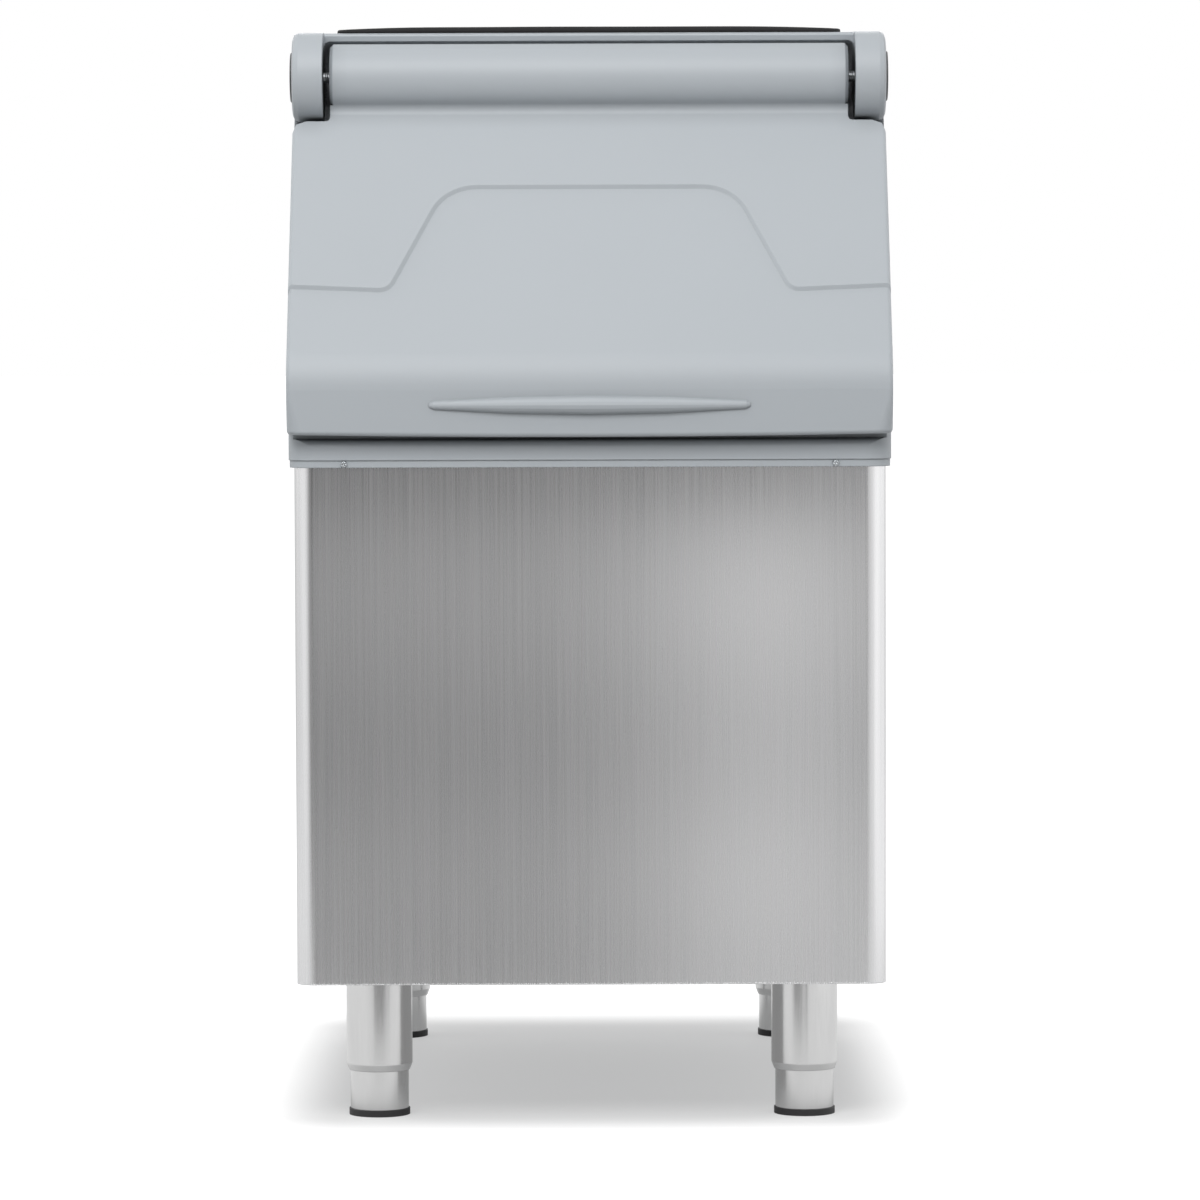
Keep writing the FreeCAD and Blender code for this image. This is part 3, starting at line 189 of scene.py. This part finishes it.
print("paper from", PAPER_FRONT, "to", PAPER_REACH, "m")

# %% [markdown]
# ## The light
# The room is white to the camera. As light it is an even grey, and to metal it is white at the sides and darker
# behind the camera, which is what makes bent steel show light edges round a grey front. One large softbox in
# front, high and a little to the left, is the main light. Weaker ones light the sides and the back, and two
# strips are there for the steel's bends alone, as a product photographer would set them.

# %% World
ROOM_SIDES, ROOM_TOP = 0.37, 0.32
DARK_TURN = math.radians(10)
DARK_EDGE = 0.88
DARK_SHARE = 0.08
world = bpy.data.worlds.new("studio")
scene.world = world
world.use_nodes = True
tree = world.node_tree
tree.nodes.clear()
path = add(tree, "LightPath")
seen = add(tree, "Math", {0: path.outputs["Is Camera Ray"], 1: path.outputs["Is Transmission Ray"]},
           operation="MAXIMUM")
way = add(tree, "TexCoord").outputs["Generated"]
axes = add(tree, "SeparateXYZ", {0: way})
overhead = add(tree, "MapRange", {"Value": axes.outputs["Z"], "To Min": ROOM_SIDES, "To Max": ROOM_TOP})
facing = add(tree, "VectorMath", {0: way, 1: (-math.sin(DARK_TURN), -math.cos(DARK_TURN), 0)},
             operation="DOT_PRODUCT")
behind = add(tree, "MapRange", {"Value": facing.outputs["Value"], "From Min": DARK_EDGE, "From Max": 1.0,
                                "To Min": 1.0, "To Max": DARK_SHARE}, interpolation_type="SMOOTHSTEP")
room = add(tree, "MixRGB", {0: path.outputs["Is Glossy Ray"], 1: overhead.outputs[0], 2: behind.outputs[0]})
sky = add(tree, "MixRGB", {0: seen.outputs[0], 1: room.outputs[0], 2: linear("#ffffff")})
shown = add(tree, "Background", {"Color": sky.outputs[0], "Strength": 1.0})
add(tree, "OutputWorld", {"Surface": shown.outputs[0]})
print("world:", world.name)


# %% Lamps
def lamp(name, place, aim, size, watts, on_paint=True):
    """A soft rectangular lamp that points at a place on the bin. A strip for metal spares the plastic."""
    data = bpy.data.lights.new(name, "AREA")
    data.shape = "RECTANGLE"
    data.size, data.size_y = size
    data.energy = watts
    made = bpy.data.objects.new(name, data)
    scene.collection.objects.link(made)
    made.visible_diffuse = on_paint
    made.location = place
    made.rotation_euler = (Vector(aim) - Vector(place)).to_track_quat("-Z", "Y").to_euler()


middle = (cad_box[0] + cad_box[1]) / 2
lamp("front_softbox", (-0.45, -2.7, 2.9), middle, (2.2, 1.6), 68)
STRIP_SIZE = (2.6, 1.6)
lamp("right_strip", (1.5, -0.2, 0.6), middle, STRIP_SIZE, 5.2, on_paint=False)
lamp("left_strip", (-1.5, -0.2, 0.6), middle, STRIP_SIZE, 2.2, on_paint=False)
for side in (-1, 1):
    lamp("side_softbox", (side * 2.3, 0.5, 1.5), middle, (1.6, 1.6), 11)
lamp("rear_softbox", (0, 2.9, 1.9), middle, (1.8, 1.6), 26)
print("lamps:", [light.name for light in bpy.data.lights])

# %% [markdown]
# ## The cards
# Flat steel shows what stands before it. A grey card just outside the picture gives it an even tone. The card
# is no lamp but glows, and its glow is painted brighter in a band right of the middle and a little uneven from
# bottom to top: a painted reflection of a light band on the steel. A glowing card between the legs stands for
# the shade there and paints dark reflections on their inner sides. Only metal sees the cards: they light and
# hide nothing.

# %% Helper for cards
def metal_card(name, corners):
    """A plate that only metal sees. Returns the node tree of its material."""
    mesh = bpy.data.meshes.new(name)
    mesh.from_pydata(corners, [], [(0, 1, 2, 3)])
    made = bpy.data.objects.new(name, mesh)
    scene.collection.objects.link(made)
    made.visible_camera = made.visible_diffuse = made.visible_shadow = made.visible_transmission = False
    material, tree = new_material(name)
    mesh.materials.append(material)
    return tree


def card_glow(tree, strength):
    """Ends a card's material: it glows white at a strength, which is a value or a socket."""
    shine = add(tree, "Emission", {"Color": linear("#ffffff"), "Strength": strength})
    add(tree, "OutputMaterial", {"Surface": shine.outputs[0]})


print("cards are seen by metal only")

# %% Grey card
# The card ends below the steel's top, so that the steel darkens there: a painted shade under the hood.
CARD_LEFT, CARD_RIGHT = -0.40, 0.305
CARD_TOP = 0.567
CARD_AHEAD = 0.60
CARD_LEVEL = 0.37
BAND_LEFT, BAND_MIDDLE, BAND_RIGHT = 0.0, 0.20, 0.275
BAND_LIFT = 2.4
WAVE_PEAK, WAVE_LENGTH = 0.17, 0.30
WAVE_SHARE = 0.12
card_y = wrap_low.y - CARD_AHEAD
# Painted reflection: the card is no lamp but glows, brighter in a band right of the middle.
tree = metal_card("glowing_grey_card", [(CARD_LEFT, card_y, 0), (CARD_RIGHT, card_y, 0),
                                    (CARD_RIGHT, card_y, CARD_TOP), (CARD_LEFT, card_y, CARD_TOP)])
spot = add(tree, "SeparateXYZ", {0: add(tree, "NewGeometry").outputs["Position"]})
sides = [add(tree, "MapRange", {"Value": spot.outputs["X"], "From Min": start, "From Max": BAND_MIDDLE},
             interpolation_type="SMOOTHSTEP") for start in (BAND_LEFT, BAND_RIGHT)]
band = add(tree, "Math", {0: sides[0].outputs[0], 1: sides[1].outputs[0]}, operation="MULTIPLY")
level = add(tree, "MapRange", {"Value": band.outputs[0], "To Min": CARD_LEVEL,
                               "To Max": CARD_LEVEL * BAND_LIFT})
rise = add(tree, "Math", {0: spot.outputs["Z"], 1: WAVE_PEAK}, operation="SUBTRACT")
turn = add(tree, "Math", {0: rise.outputs[0], 1: 2 * math.pi / WAVE_LENGTH}, operation="MULTIPLY")
wave = add(tree, "Math", {0: turn.outputs[0]}, operation="COSINE")
uneven = add(tree, "MapRange", {"Value": wave.outputs[0], "From Min": -1.0, "To Min": 1 - WAVE_SHARE,
                                "To Max": 1 + WAVE_SHARE})
strength = add(tree, "Math", {0: level.outputs[0], 1: uneven.outputs[0]}, operation="MULTIPLY")
card_glow(tree, strength.outputs[0])
print("grey card", CARD_AHEAD, "m before the steel")

# %% Dark card
DARK_FRONT, DARK_BACK = 0.03, 0.44
DARK_LEVEL = 0.34
dark_ends = [wrap_low.y + inset for inset in (DARK_FRONT, DARK_BACK)]
# Painted reflection of shade: this glowing sheet stands for the shade between the legs.
tree = metal_card("shade_reflection_card", [(0, dark_ends[0], 0), (0, dark_ends[1], 0),
                                (0, dark_ends[1], wrap_low.z), (0, dark_ends[0], wrap_low.z)])
card_glow(tree, DARK_LEVEL)
print("dark card between the legs, from y", [round(y, 3) for y in dark_ends])

# %% [markdown]
# ## Rotomoulded polyethylene
# The hood and the door are moulded from pale blue-grey polyethylene. The mould gives it a fine even grain and
# a satin gloss, and its edges are all soft. Colour drifts a little over such a moulding, as the powder melts.
# The Bevel node rounds edges that are too small to be worth faces in the solids. Shade is painted into narrow
# joints, and a lighter painted shade into inner corners: the Ambient Occlusion node finds both, and there the
# colour is turned down. No shade is painted above a height on the hood's top edge. Grain this
# fine would not show, so it is drawn coarser than the mould's own.

# %% Plastics
POLYMER_IOR = 1.51
GRAIN_MM = 1.6
DRIFT_MM = 250
SHADE_REACH_MM = 25
DRIFT_SPREAD = 0.03
GLOSS_SPREAD = 0.06
JOINT_AIR, JOINT_KEEPS = (0.10, 0.36), 0.05
CORNER_AIR, CORNER_KEEPS = (0.75, 1.0), 0.81
UNSHADED_FROM, UNSHADED_FULL = 1.022, 1.030
NODE_SAMPLES = 6
GRAIN_BUMP, GRAIN_DEPTH_MM = 0.12, 0.1


def moulded_plastic(name, colour, edge_mm, gloss):
    """Satin plastic with a fine moulded grain, soft edges and painted shade where little open air is left."""
    material, tree = new_material(name)
    place = add(tree, "TexCoord").outputs["Object"]
    drift = add(tree, "TexNoise", {"Vector": place, "Scale": 1 / (DRIFT_MM * MM), "Detail": 2.0})
    level = add(tree, "MapRange", {"Value": drift.outputs["Fac"], "To Min": 1 - DRIFT_SPREAD,
                                   "To Max": 1 + DRIFT_SPREAD})
    open_air = add(tree, "AmbientOcclusion", {"Distance": SHADE_REACH_MM * MM}, samples=NODE_SAMPLES)
    height = add(tree, "SeparateXYZ", {0: place}).outputs["Z"]
    unshaded_top = add(tree, "MapRange", {"Value": height, "From Min": UNSHADED_FROM, "From Max": UNSHADED_FULL})
    # Painted shade: the colour is turned down where little open air is left, in narrow joints and more lightly
    # in inner corners, but not above a height on the hood's top edge.
    for air, keeps in ((JOINT_AIR, JOINT_KEEPS), (CORNER_AIR, CORNER_KEEPS)):
        painted_shade = add(tree, "MapRange", {"Value": open_air.outputs["AO"], "From Min": air[0], "From Max": air[1],
                                      "To Min": keeps, "To Max": 1.0})
        shade_factor = add(tree, "Math", {0: painted_shade.outputs[0], 1: unshaded_top.outputs[0]}, operation="MAXIMUM")
        level = add(tree, "Math", {0: level.outputs[0], 1: shade_factor.outputs[0]}, operation="MULTIPLY")
    tint = add(tree, "HueSaturation", {"Color": linear(colour), "Value": level.outputs[0]})
    grain = add(tree, "TexNoise", {"Vector": place, "Scale": 1 / (GRAIN_MM * MM), "Detail": 3.0})
    edges = add(tree, "Bevel", {"Radius": edge_mm * MM}, samples=NODE_SAMPLES)
    bump = add(tree, "Bump", {"Height": grain.outputs["Fac"], "Strength": GRAIN_BUMP,
                              "Distance": GRAIN_DEPTH_MM * MM, "Normal": edges.outputs[0]})
    rough = add(tree, "MapRange", {"Value": grain.outputs["Fac"], "To Min": gloss - GLOSS_SPREAD,
                                   "To Max": gloss + GLOSS_SPREAD})
    shader = add(tree, "BsdfPrincipled", {"Base Color": tint.outputs[0], "Roughness": rough.outputs[0],
                                          "IOR": POLYMER_IOR, "Normal": bump.outputs[0]})
    add(tree, "OutputMaterial", {"Surface": shader.outputs[0]})
    return material


hood_plastic = moulded_plastic("rotomoulded_polyethylene", "#bbc1c6", 1.2, 0.50)
dress(hood_plastic, "hood", "door_shell")
liner_plastic = moulded_plastic("liner_polyethylene", "#dfe3e6", 2.5, 0.45)
dress(liner_plastic, "liner_tub", "door_inner_panel")
cap_plastic = moulded_plastic("cap_polypropylene", "#3c3d40", 0.8, 0.42)
dress(cap_plastic, "pivot_caps")
drain_plastic = moulded_plastic("drain_polypropylene", "#35373a", 0.6, 0.42)
dress(drain_plastic, "drain_bulkhead", "drain_locknut")
print("plastics:", hood_plastic.name, liner_plastic.name, cap_plastic.name, drain_plastic.name)

# %% [markdown]
# ## Brushed stainless steel
# The wrap is stainless sheet brushed along its height. The belt leaves fine upright scratches, which spread a
# reflection sideways. A noise stretched along Z gives the scratches, and an anisotropic gloss does the rest.
# The real scratches are some 0.1 mm apart: they are drawn coarser here, so that they show.

# %% Metals
MARK_SPREAD = 0.05
MARK_BUMP, MARK_DEPTH_MM = 0.05, 0.05


def brushed_metal(name, colour, across_mm, along_mm, roughness, anisotropy, edge_mm):
    """Metal with marks of a width and a length along Z. Round marks give zinc and its spangle."""
    material, tree = new_material(name)
    place = add(tree, "TexCoord").outputs["Object"]
    across, along = 1 / (across_mm * MM), 1 / (along_mm * MM)
    stretched = add(tree, "Mapping", {"Vector": place, "Scale": (across, across, along)})
    marks = add(tree, "TexNoise", {"Vector": stretched.outputs[0], "Scale": 1.0, "Detail": 1.5})
    level = add(tree, "MapRange", {"Value": marks.outputs["Fac"], "To Min": 1 - MARK_SPREAD,
                                   "To Max": 1 + MARK_SPREAD})
    tint = add(tree, "HueSaturation", {"Color": linear(colour), "Value": level.outputs[0]})
    rough = add(tree, "MapRange", {"Value": marks.outputs["Fac"], "To Min": roughness - MARK_SPREAD,
                                   "To Max": roughness + MARK_SPREAD})
    edges = add(tree, "Bevel", {"Radius": edge_mm * MM}, samples=NODE_SAMPLES)
    bump = add(tree, "Bump", {"Height": marks.outputs["Fac"], "Strength": MARK_BUMP,
                              "Distance": MARK_DEPTH_MM * MM, "Normal": edges.outputs[0]})
    around = add(tree, "Tangent", direction_type="RADIAL", axis="Z")
    shader = add(tree, "BsdfPrincipled", {
        "Base Color": tint.outputs[0], "Metallic": 1.0, "Roughness": rough.outputs[0],
        "Anisotropic": anisotropy, "Normal": bump.outputs[0], "Tangent": around.outputs[0]})
    add(tree, "OutputMaterial", {"Surface": shader.outputs[0]})
    return material


sheet_steel = brushed_metal("brushed_stainless_sheet", "#d6d6d7", 1.0, 260, 0.27, 0.55, 2.0)
dress(sheet_steel, "cabinet_wrap")
tube_steel = brushed_metal("polished_stainless_tube", "#d2d2d2", 1.2, 30, 0.20, 0.3, 1.5)
dress(tube_steel, "leg_sleeves", *(name for name in nodes if name.startswith("foot_tube")))
zinc_steel = brushed_metal("zinc_plated_steel", "#a9adb0", 0.8, 0.8, 0.38, 0.0, 0.4)
dress(zinc_steel, "hinge_bolt_left", "hinge_bolt_right")
galvanised = brushed_metal("galvanised_sheet", "#b4b8bb", 14, 14, 0.42, 0.0, 1.5)
dress(galvanised, "rear_panel", "base_pan")
print("metals:", sheet_steel.name, tube_steel.name, zinc_steel.name, galvanised.name)

# %% [markdown]
# ## Rubber and foam
# The gasket on the deck is closed-cell foam, black and full of fine pores. The feet stand on black rubber, and
# the walls hold pale insulating foam that only shows if the bin is taken apart.

# %% Rubber and foam
RUBBER_IOR = 1.5
CELL_WALL, CELL_HEART = 0.85, 1.2
CELL_BUMP = 0.4


def cellular(name, colour, cell_mm, depth_mm, roughness):
    """A soft or foamed surface with round cells."""
    material, tree = new_material(name)
    place = add(tree, "TexCoord").outputs["Object"]
    cells = add(tree, "TexVoronoi", {"Vector": place, "Scale": 1 / (cell_mm * MM)})
    level = add(tree, "MapRange", {"Value": cells.outputs["Distance"], "To Min": CELL_WALL,
                                   "To Max": CELL_HEART})
    tint = add(tree, "HueSaturation", {"Color": linear(colour), "Value": level.outputs[0]})
    bump = add(tree, "Bump", {"Height": cells.outputs["Distance"], "Strength": CELL_BUMP,
                              "Distance": depth_mm * MM})
    shader = add(tree, "BsdfPrincipled", {"Base Color": tint.outputs[0], "Roughness": roughness,
                                          "IOR": RUBBER_IOR, "Normal": bump.outputs[0]})
    add(tree, "OutputMaterial", {"Surface": shader.outputs[0]})
    return material


gasket_foam = cellular("closed_cell_gasket_foam", "#141315", 1.6, 0.3, 0.8)
dress(gasket_foam, "top_gasket")
dress(cellular("moulded_pad_rubber", "#2c2c2d", 2.0, 0.1, 0.65),
      *(name for name in nodes if name.startswith("foot_pad")))
dress(cellular("polyurethane_foam", "#e3d9a9", 2.0, 0.4, 0.9), "insulation_foam", "door_core_foam")
print("rubber and foam are set")

# %% [markdown]
# ## Making pieces
# The pieces below are small trim. Each is built point by point in a BMesh, becomes an object, and rides on the
# body that carries it, so it moves when a joint moves.

# %% Helper for pieces
def new_piece(name, shape, material, body):
    """Turns a BMesh into an object that rides on a body."""
    bmesh.ops.recalc_face_normals(shape, faces=shape.faces)
    mesh = bpy.data.meshes.new(name)
    shape.to_mesh(mesh)
    shape.free()
    mesh.materials.append(material)
    piece = bpy.data.objects.new(name, mesh)
    scene.collection.objects.link(piece)
    for face in mesh.polygons:
        face.use_smooth = True
    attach(piece, body)
    print(name, "has", len(mesh.polygons), "faces")
    return piece


# %% [markdown]
# ## The gasket
# A strip of foam lies on the deck, and the ice machine above squeezes it. It is cut by hand and glued down, so
# it is thicker along its runs than at its corners, and a little uneven. A sweep would fold over itself at the
# tight corners, so the strip is lofted through rounded rectangles, each one a little further in.

# %% Gasket
RUN_POINTS = 24
CORNER_POINTS = 6
gasket_low, gasket_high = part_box("top_gasket")
STRIP_WIDTH = 20 * MM
CORNER_RADIUS = 12 * MM
LEAST_RADIUS = 0.5 * MM


def rounded_loop(inset):
    """Points round the gasket at a distance inside its outer edge."""
    radius = max(CORNER_RADIUS - inset, LEAST_RADIUS)
    x1, y1 = gasket_high.x - inset - radius, gasket_high.y - inset - radius
    x0, y0 = gasket_low.x + inset + radius, gasket_low.y + inset + radius
    centres = [(x1, y0), (x1, y1), (x0, y1), (x0, y0)]
    points = []
    for turn, centre in enumerate(centres):
        for step in range(CORNER_POINTS + 1):
            angle = math.radians(90) * (turn - 1 + step / CORNER_POINTS)
            points.append(Vector((centre[0] + radius * math.cos(angle),
                                  centre[1] + radius * math.sin(angle), 0)))
        following = centres[(turn + 1) % 4]
        angle = math.radians(90) * turn
        out = Vector((radius * math.cos(angle), radius * math.sin(angle), 0))
        ends = [Vector((*centre, 0)) + out, Vector((*following, 0)) + out]
        points += [ends[0].lerp(ends[1], step / RUN_POINTS) for step in range(1, RUN_POINTS)]
    return points


RUN_KEEPS = 0.95
CORNER_LOSES = 0.40
CORNER_POWER = 5
UNEVEN, UNEVEN_PER_M = 0.04, 12


def squeeze(point):
    """How much of the full thickness the foam keeps at a place."""
    along_x = abs(point.x) / gasket_high.x
    depth = gasket_high.y - gasket_low.y
    along_y = abs(2 * (point.y - gasket_low.y) / depth - 1)
    corner = min(along_x, along_y) ** CORNER_POWER
    uneven = UNEVEN * noise.noise(point * UNEVEN_PER_M)
    return RUN_KEEPS - CORNER_LOSES * corner + uneven


shape = bmesh.new()
thickness = gasket_high.z - gasket_low.z
loops = []
CROWN_POWER = 5
for share in (0, 0.02, 0.07, 0.15, 0.3, 0.5, 0.7, 0.85, 0.93, 0.98, 1):
    crown = (1 - abs(2 * share - 1) ** CROWN_POWER) ** (1 / CROWN_POWER)
    loops.append([shape.verts.new((p.x, p.y, gasket_low.z + thickness * crown * squeeze(p)))
                  for p in rounded_loop(share * STRIP_WIDTH)])
count = len(loops[0])
for inner, outer in zip(loops[1:] + loops[:1], loops):
    for i in range(count):
        shape.faces.new((outer[i], outer[(i + 1) % count], inner[(i + 1) % count], inner[i]))
gasket = new_piece("gasket_strip", shape, gasket_foam, "cabinet")
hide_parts("top_gasket")

# %% [markdown]
# ## Screws
# Pan-head screws hold the hood's lip to the wrap and the rear panel to its flanges. A head is a square grid
# bent to a disc: that leaves straight rows of points, which sink to form the cross recess.

# %% Screws
HEAD_CELLS = 16
HEAD_RADIUS = 3.2 * MM
HEAD_HEIGHT = 2.4 * MM
HEAD_FALL = 0.55
RECESS_DEPTH = 1.1 * MM
RECESS_HALF_WIDTH, RECESS_HALF_LENGTH = 0.13, 0.63


def pan_head(shape, seat, outward, turn):
    """Adds a screw head to a mesh: the seat is a point on the plate, and the turn is where driving stopped."""
    head = bmesh.ops.create_grid(shape, x_segments=HEAD_CELLS, y_segments=HEAD_CELLS, size=1)["verts"]
    rim = [edge for edge in dict.fromkeys(e for v in head for e in v.link_edges) if edge.is_boundary]
    pulled = bmesh.ops.extrude_edge_only(shape, edges=rim)["geom"]
    skirt = [part for part in pulled if isinstance(part, bmesh.types.BMVert)]
    face = outward.to_track_quat("Z", "Y").to_matrix().to_4x4() @ Matrix.Rotation(turn, 4, "Z")
    for vert in head + skirt:
        u, v = vert.co.x, vert.co.y
        disc = Vector((u * math.sqrt(1 - v * v / 2), v * math.sqrt(1 - u * u / 2), 0))
        dome = HEAD_HEIGHT * (1 - HEAD_FALL * disc.length ** 4)
        cross = sorted((abs(u), abs(v)))
        if cross[0] < RECESS_HALF_WIDTH and cross[1] < RECESS_HALF_LENGTH:
            dome -= RECESS_DEPTH
        height = 0 if vert in skirt else dome
        vert.co = Matrix.Translation(seat) @ face @ Vector((*(disc * HEAD_RADIUS).xy, height))


hood_low, hood_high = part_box("hood")
LIP_STEP = 1.0 * MM
LIP_RISE = 3.5 * MM
LIP_STANDS_OUT = 4.3 * MM
SCREW_ASIDE = 232 * MM
SCREW_ALONG = (-257.5 * MM, 252.5 * MM)
FRONT_TURN, REAR_TURN, SIDE_TURN = 0.4, 0.9, 0.2
lip_x, lip_z = wrap_high.x + LIP_STANDS_OUT, hood_low.z + LIP_RISE
shape = bmesh.new()
for i, side in enumerate((-1, 1)):
    x = side * SCREW_ASIDE
    pan_head(shape, Vector((x, hood_low.y + LIP_STEP, lip_z)), Vector((0, -1, 0)), FRONT_TURN + i)
    pan_head(shape, Vector((x, hood_high.y - LIP_STEP, lip_z)), Vector((0, 1, 0)), REAR_TURN + i)
    for y in SCREW_ALONG:
        pan_head(shape, Vector((side * lip_x, y, lip_z)), Vector((side, 0, 0)), SIDE_TURN + i)
new_piece("lip_screws", shape, zinc_steel, "cabinet")

# %% Rear panel screws
panel_low, panel_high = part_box("rear_panel")
FLANGE_IN = 10 * MM
FLANGE_RISE = 40 * MM
shape = bmesh.new()
for side in (-1, 1):
    for share in (0, 0.5, 1):
        z = (panel_low.z + FLANGE_RISE) * (1 - share) + (panel_high.z - FLANGE_RISE) * share
        seat = Vector((side * (wrap_high.x - FLANGE_IN), panel_high.y, z))
        pan_head(shape, seat, Vector((0, 1, 0)), share + side)
new_piece("rear_panel_screws", shape, zinc_steel, "cabinet")

# %% [markdown]
# ## Threads
# The hinge bolts show their thread in the narrow gaps beside the barrel, and the drain shows a turn of thread
# behind its locknut. A thread is a ridge wound along a helix. Each step has four points: two at the root, sunk
# a little into the metal or plastic, and two at the crest.

# %% Threads
THREAD_STEPS = 32
THREAD_SINK = 0.2 * MM
ROOT_HALF, CREST_HALF = 0.4, 0.08


def thread(shape, start, end, root, crest, pitch):
    """Winds a ridge round the line from start to end."""
    line = end - start
    face = line.to_track_quat("Z", "Y").to_matrix()
    steps = int(line.length / pitch * THREAD_STEPS) - THREAD_STEPS // 2
    rows = []
    for step in range(steps + 1):
        angle = 2 * math.pi * step / THREAD_STEPS
        height = pitch * (step / THREAD_STEPS + 0.25)
        rise = root + (crest - root) * min(1, 4 * step / steps, 4 * (1 - step / steps))
        sunk = root - THREAD_SINK
        section = ((sunk, -ROOT_HALF), (rise, -CREST_HALF), (rise, CREST_HALF), (sunk, ROOT_HALF))
        rows.append([shape.verts.new(start + face @ Vector((r * math.cos(angle), r * math.sin(angle),
                                                            height + shift * pitch))) for r, shift in section])
    for a, b in zip(rows, rows[1:]):
        for i in range(len(a)):
            j = (i + 1) % len(a)
            shape.faces.new((a[i], a[j], b[j], b[i]))
    shape.faces.new(rows[0])
    shape.faces.new(reversed(rows[-1]))


hinge = next(joint for joint in frame["joints"] if joint["name"] == "door_hinge")
axis = Vector(hinge["pos_m"])
shape = bmesh.new()
BOLT_GAP = (249.9 * MM, 255.9 * MM)
BOLT_ROOT, BOLT_CREST, BOLT_PITCH = 5 * MM, 5.9 * MM, 1.75 * MM
for side in (-1, 1):
    ends = [Vector((side * x, axis.y, axis.z)) for x in BOLT_GAP]
    thread(shape, *ends, BOLT_ROOT, BOLT_CREST, BOLT_PITCH)
new_piece("hinge_bolt_threads", shape, zinc_steel, "door")

nut_low, nut_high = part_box("drain_locknut")
drain_z = (nut_low.z + nut_high.z) / 2
DRAIN_RUN = 3.6 * MM
DRAIN_ROOT, DRAIN_CREST, DRAIN_PITCH = 13.2 * MM, 14.2 * MM, 1.8 * MM
shape = bmesh.new()
drain_from = Vector((0, nut_high.y, drain_z))
drain_to = drain_from + Vector((0, DRAIN_RUN, 0))
thread(shape, drain_from, drain_to, DRAIN_ROOT, DRAIN_CREST, DRAIN_PITCH)
new_piece("drain_thread", shape, drain_plastic, "cabinet")
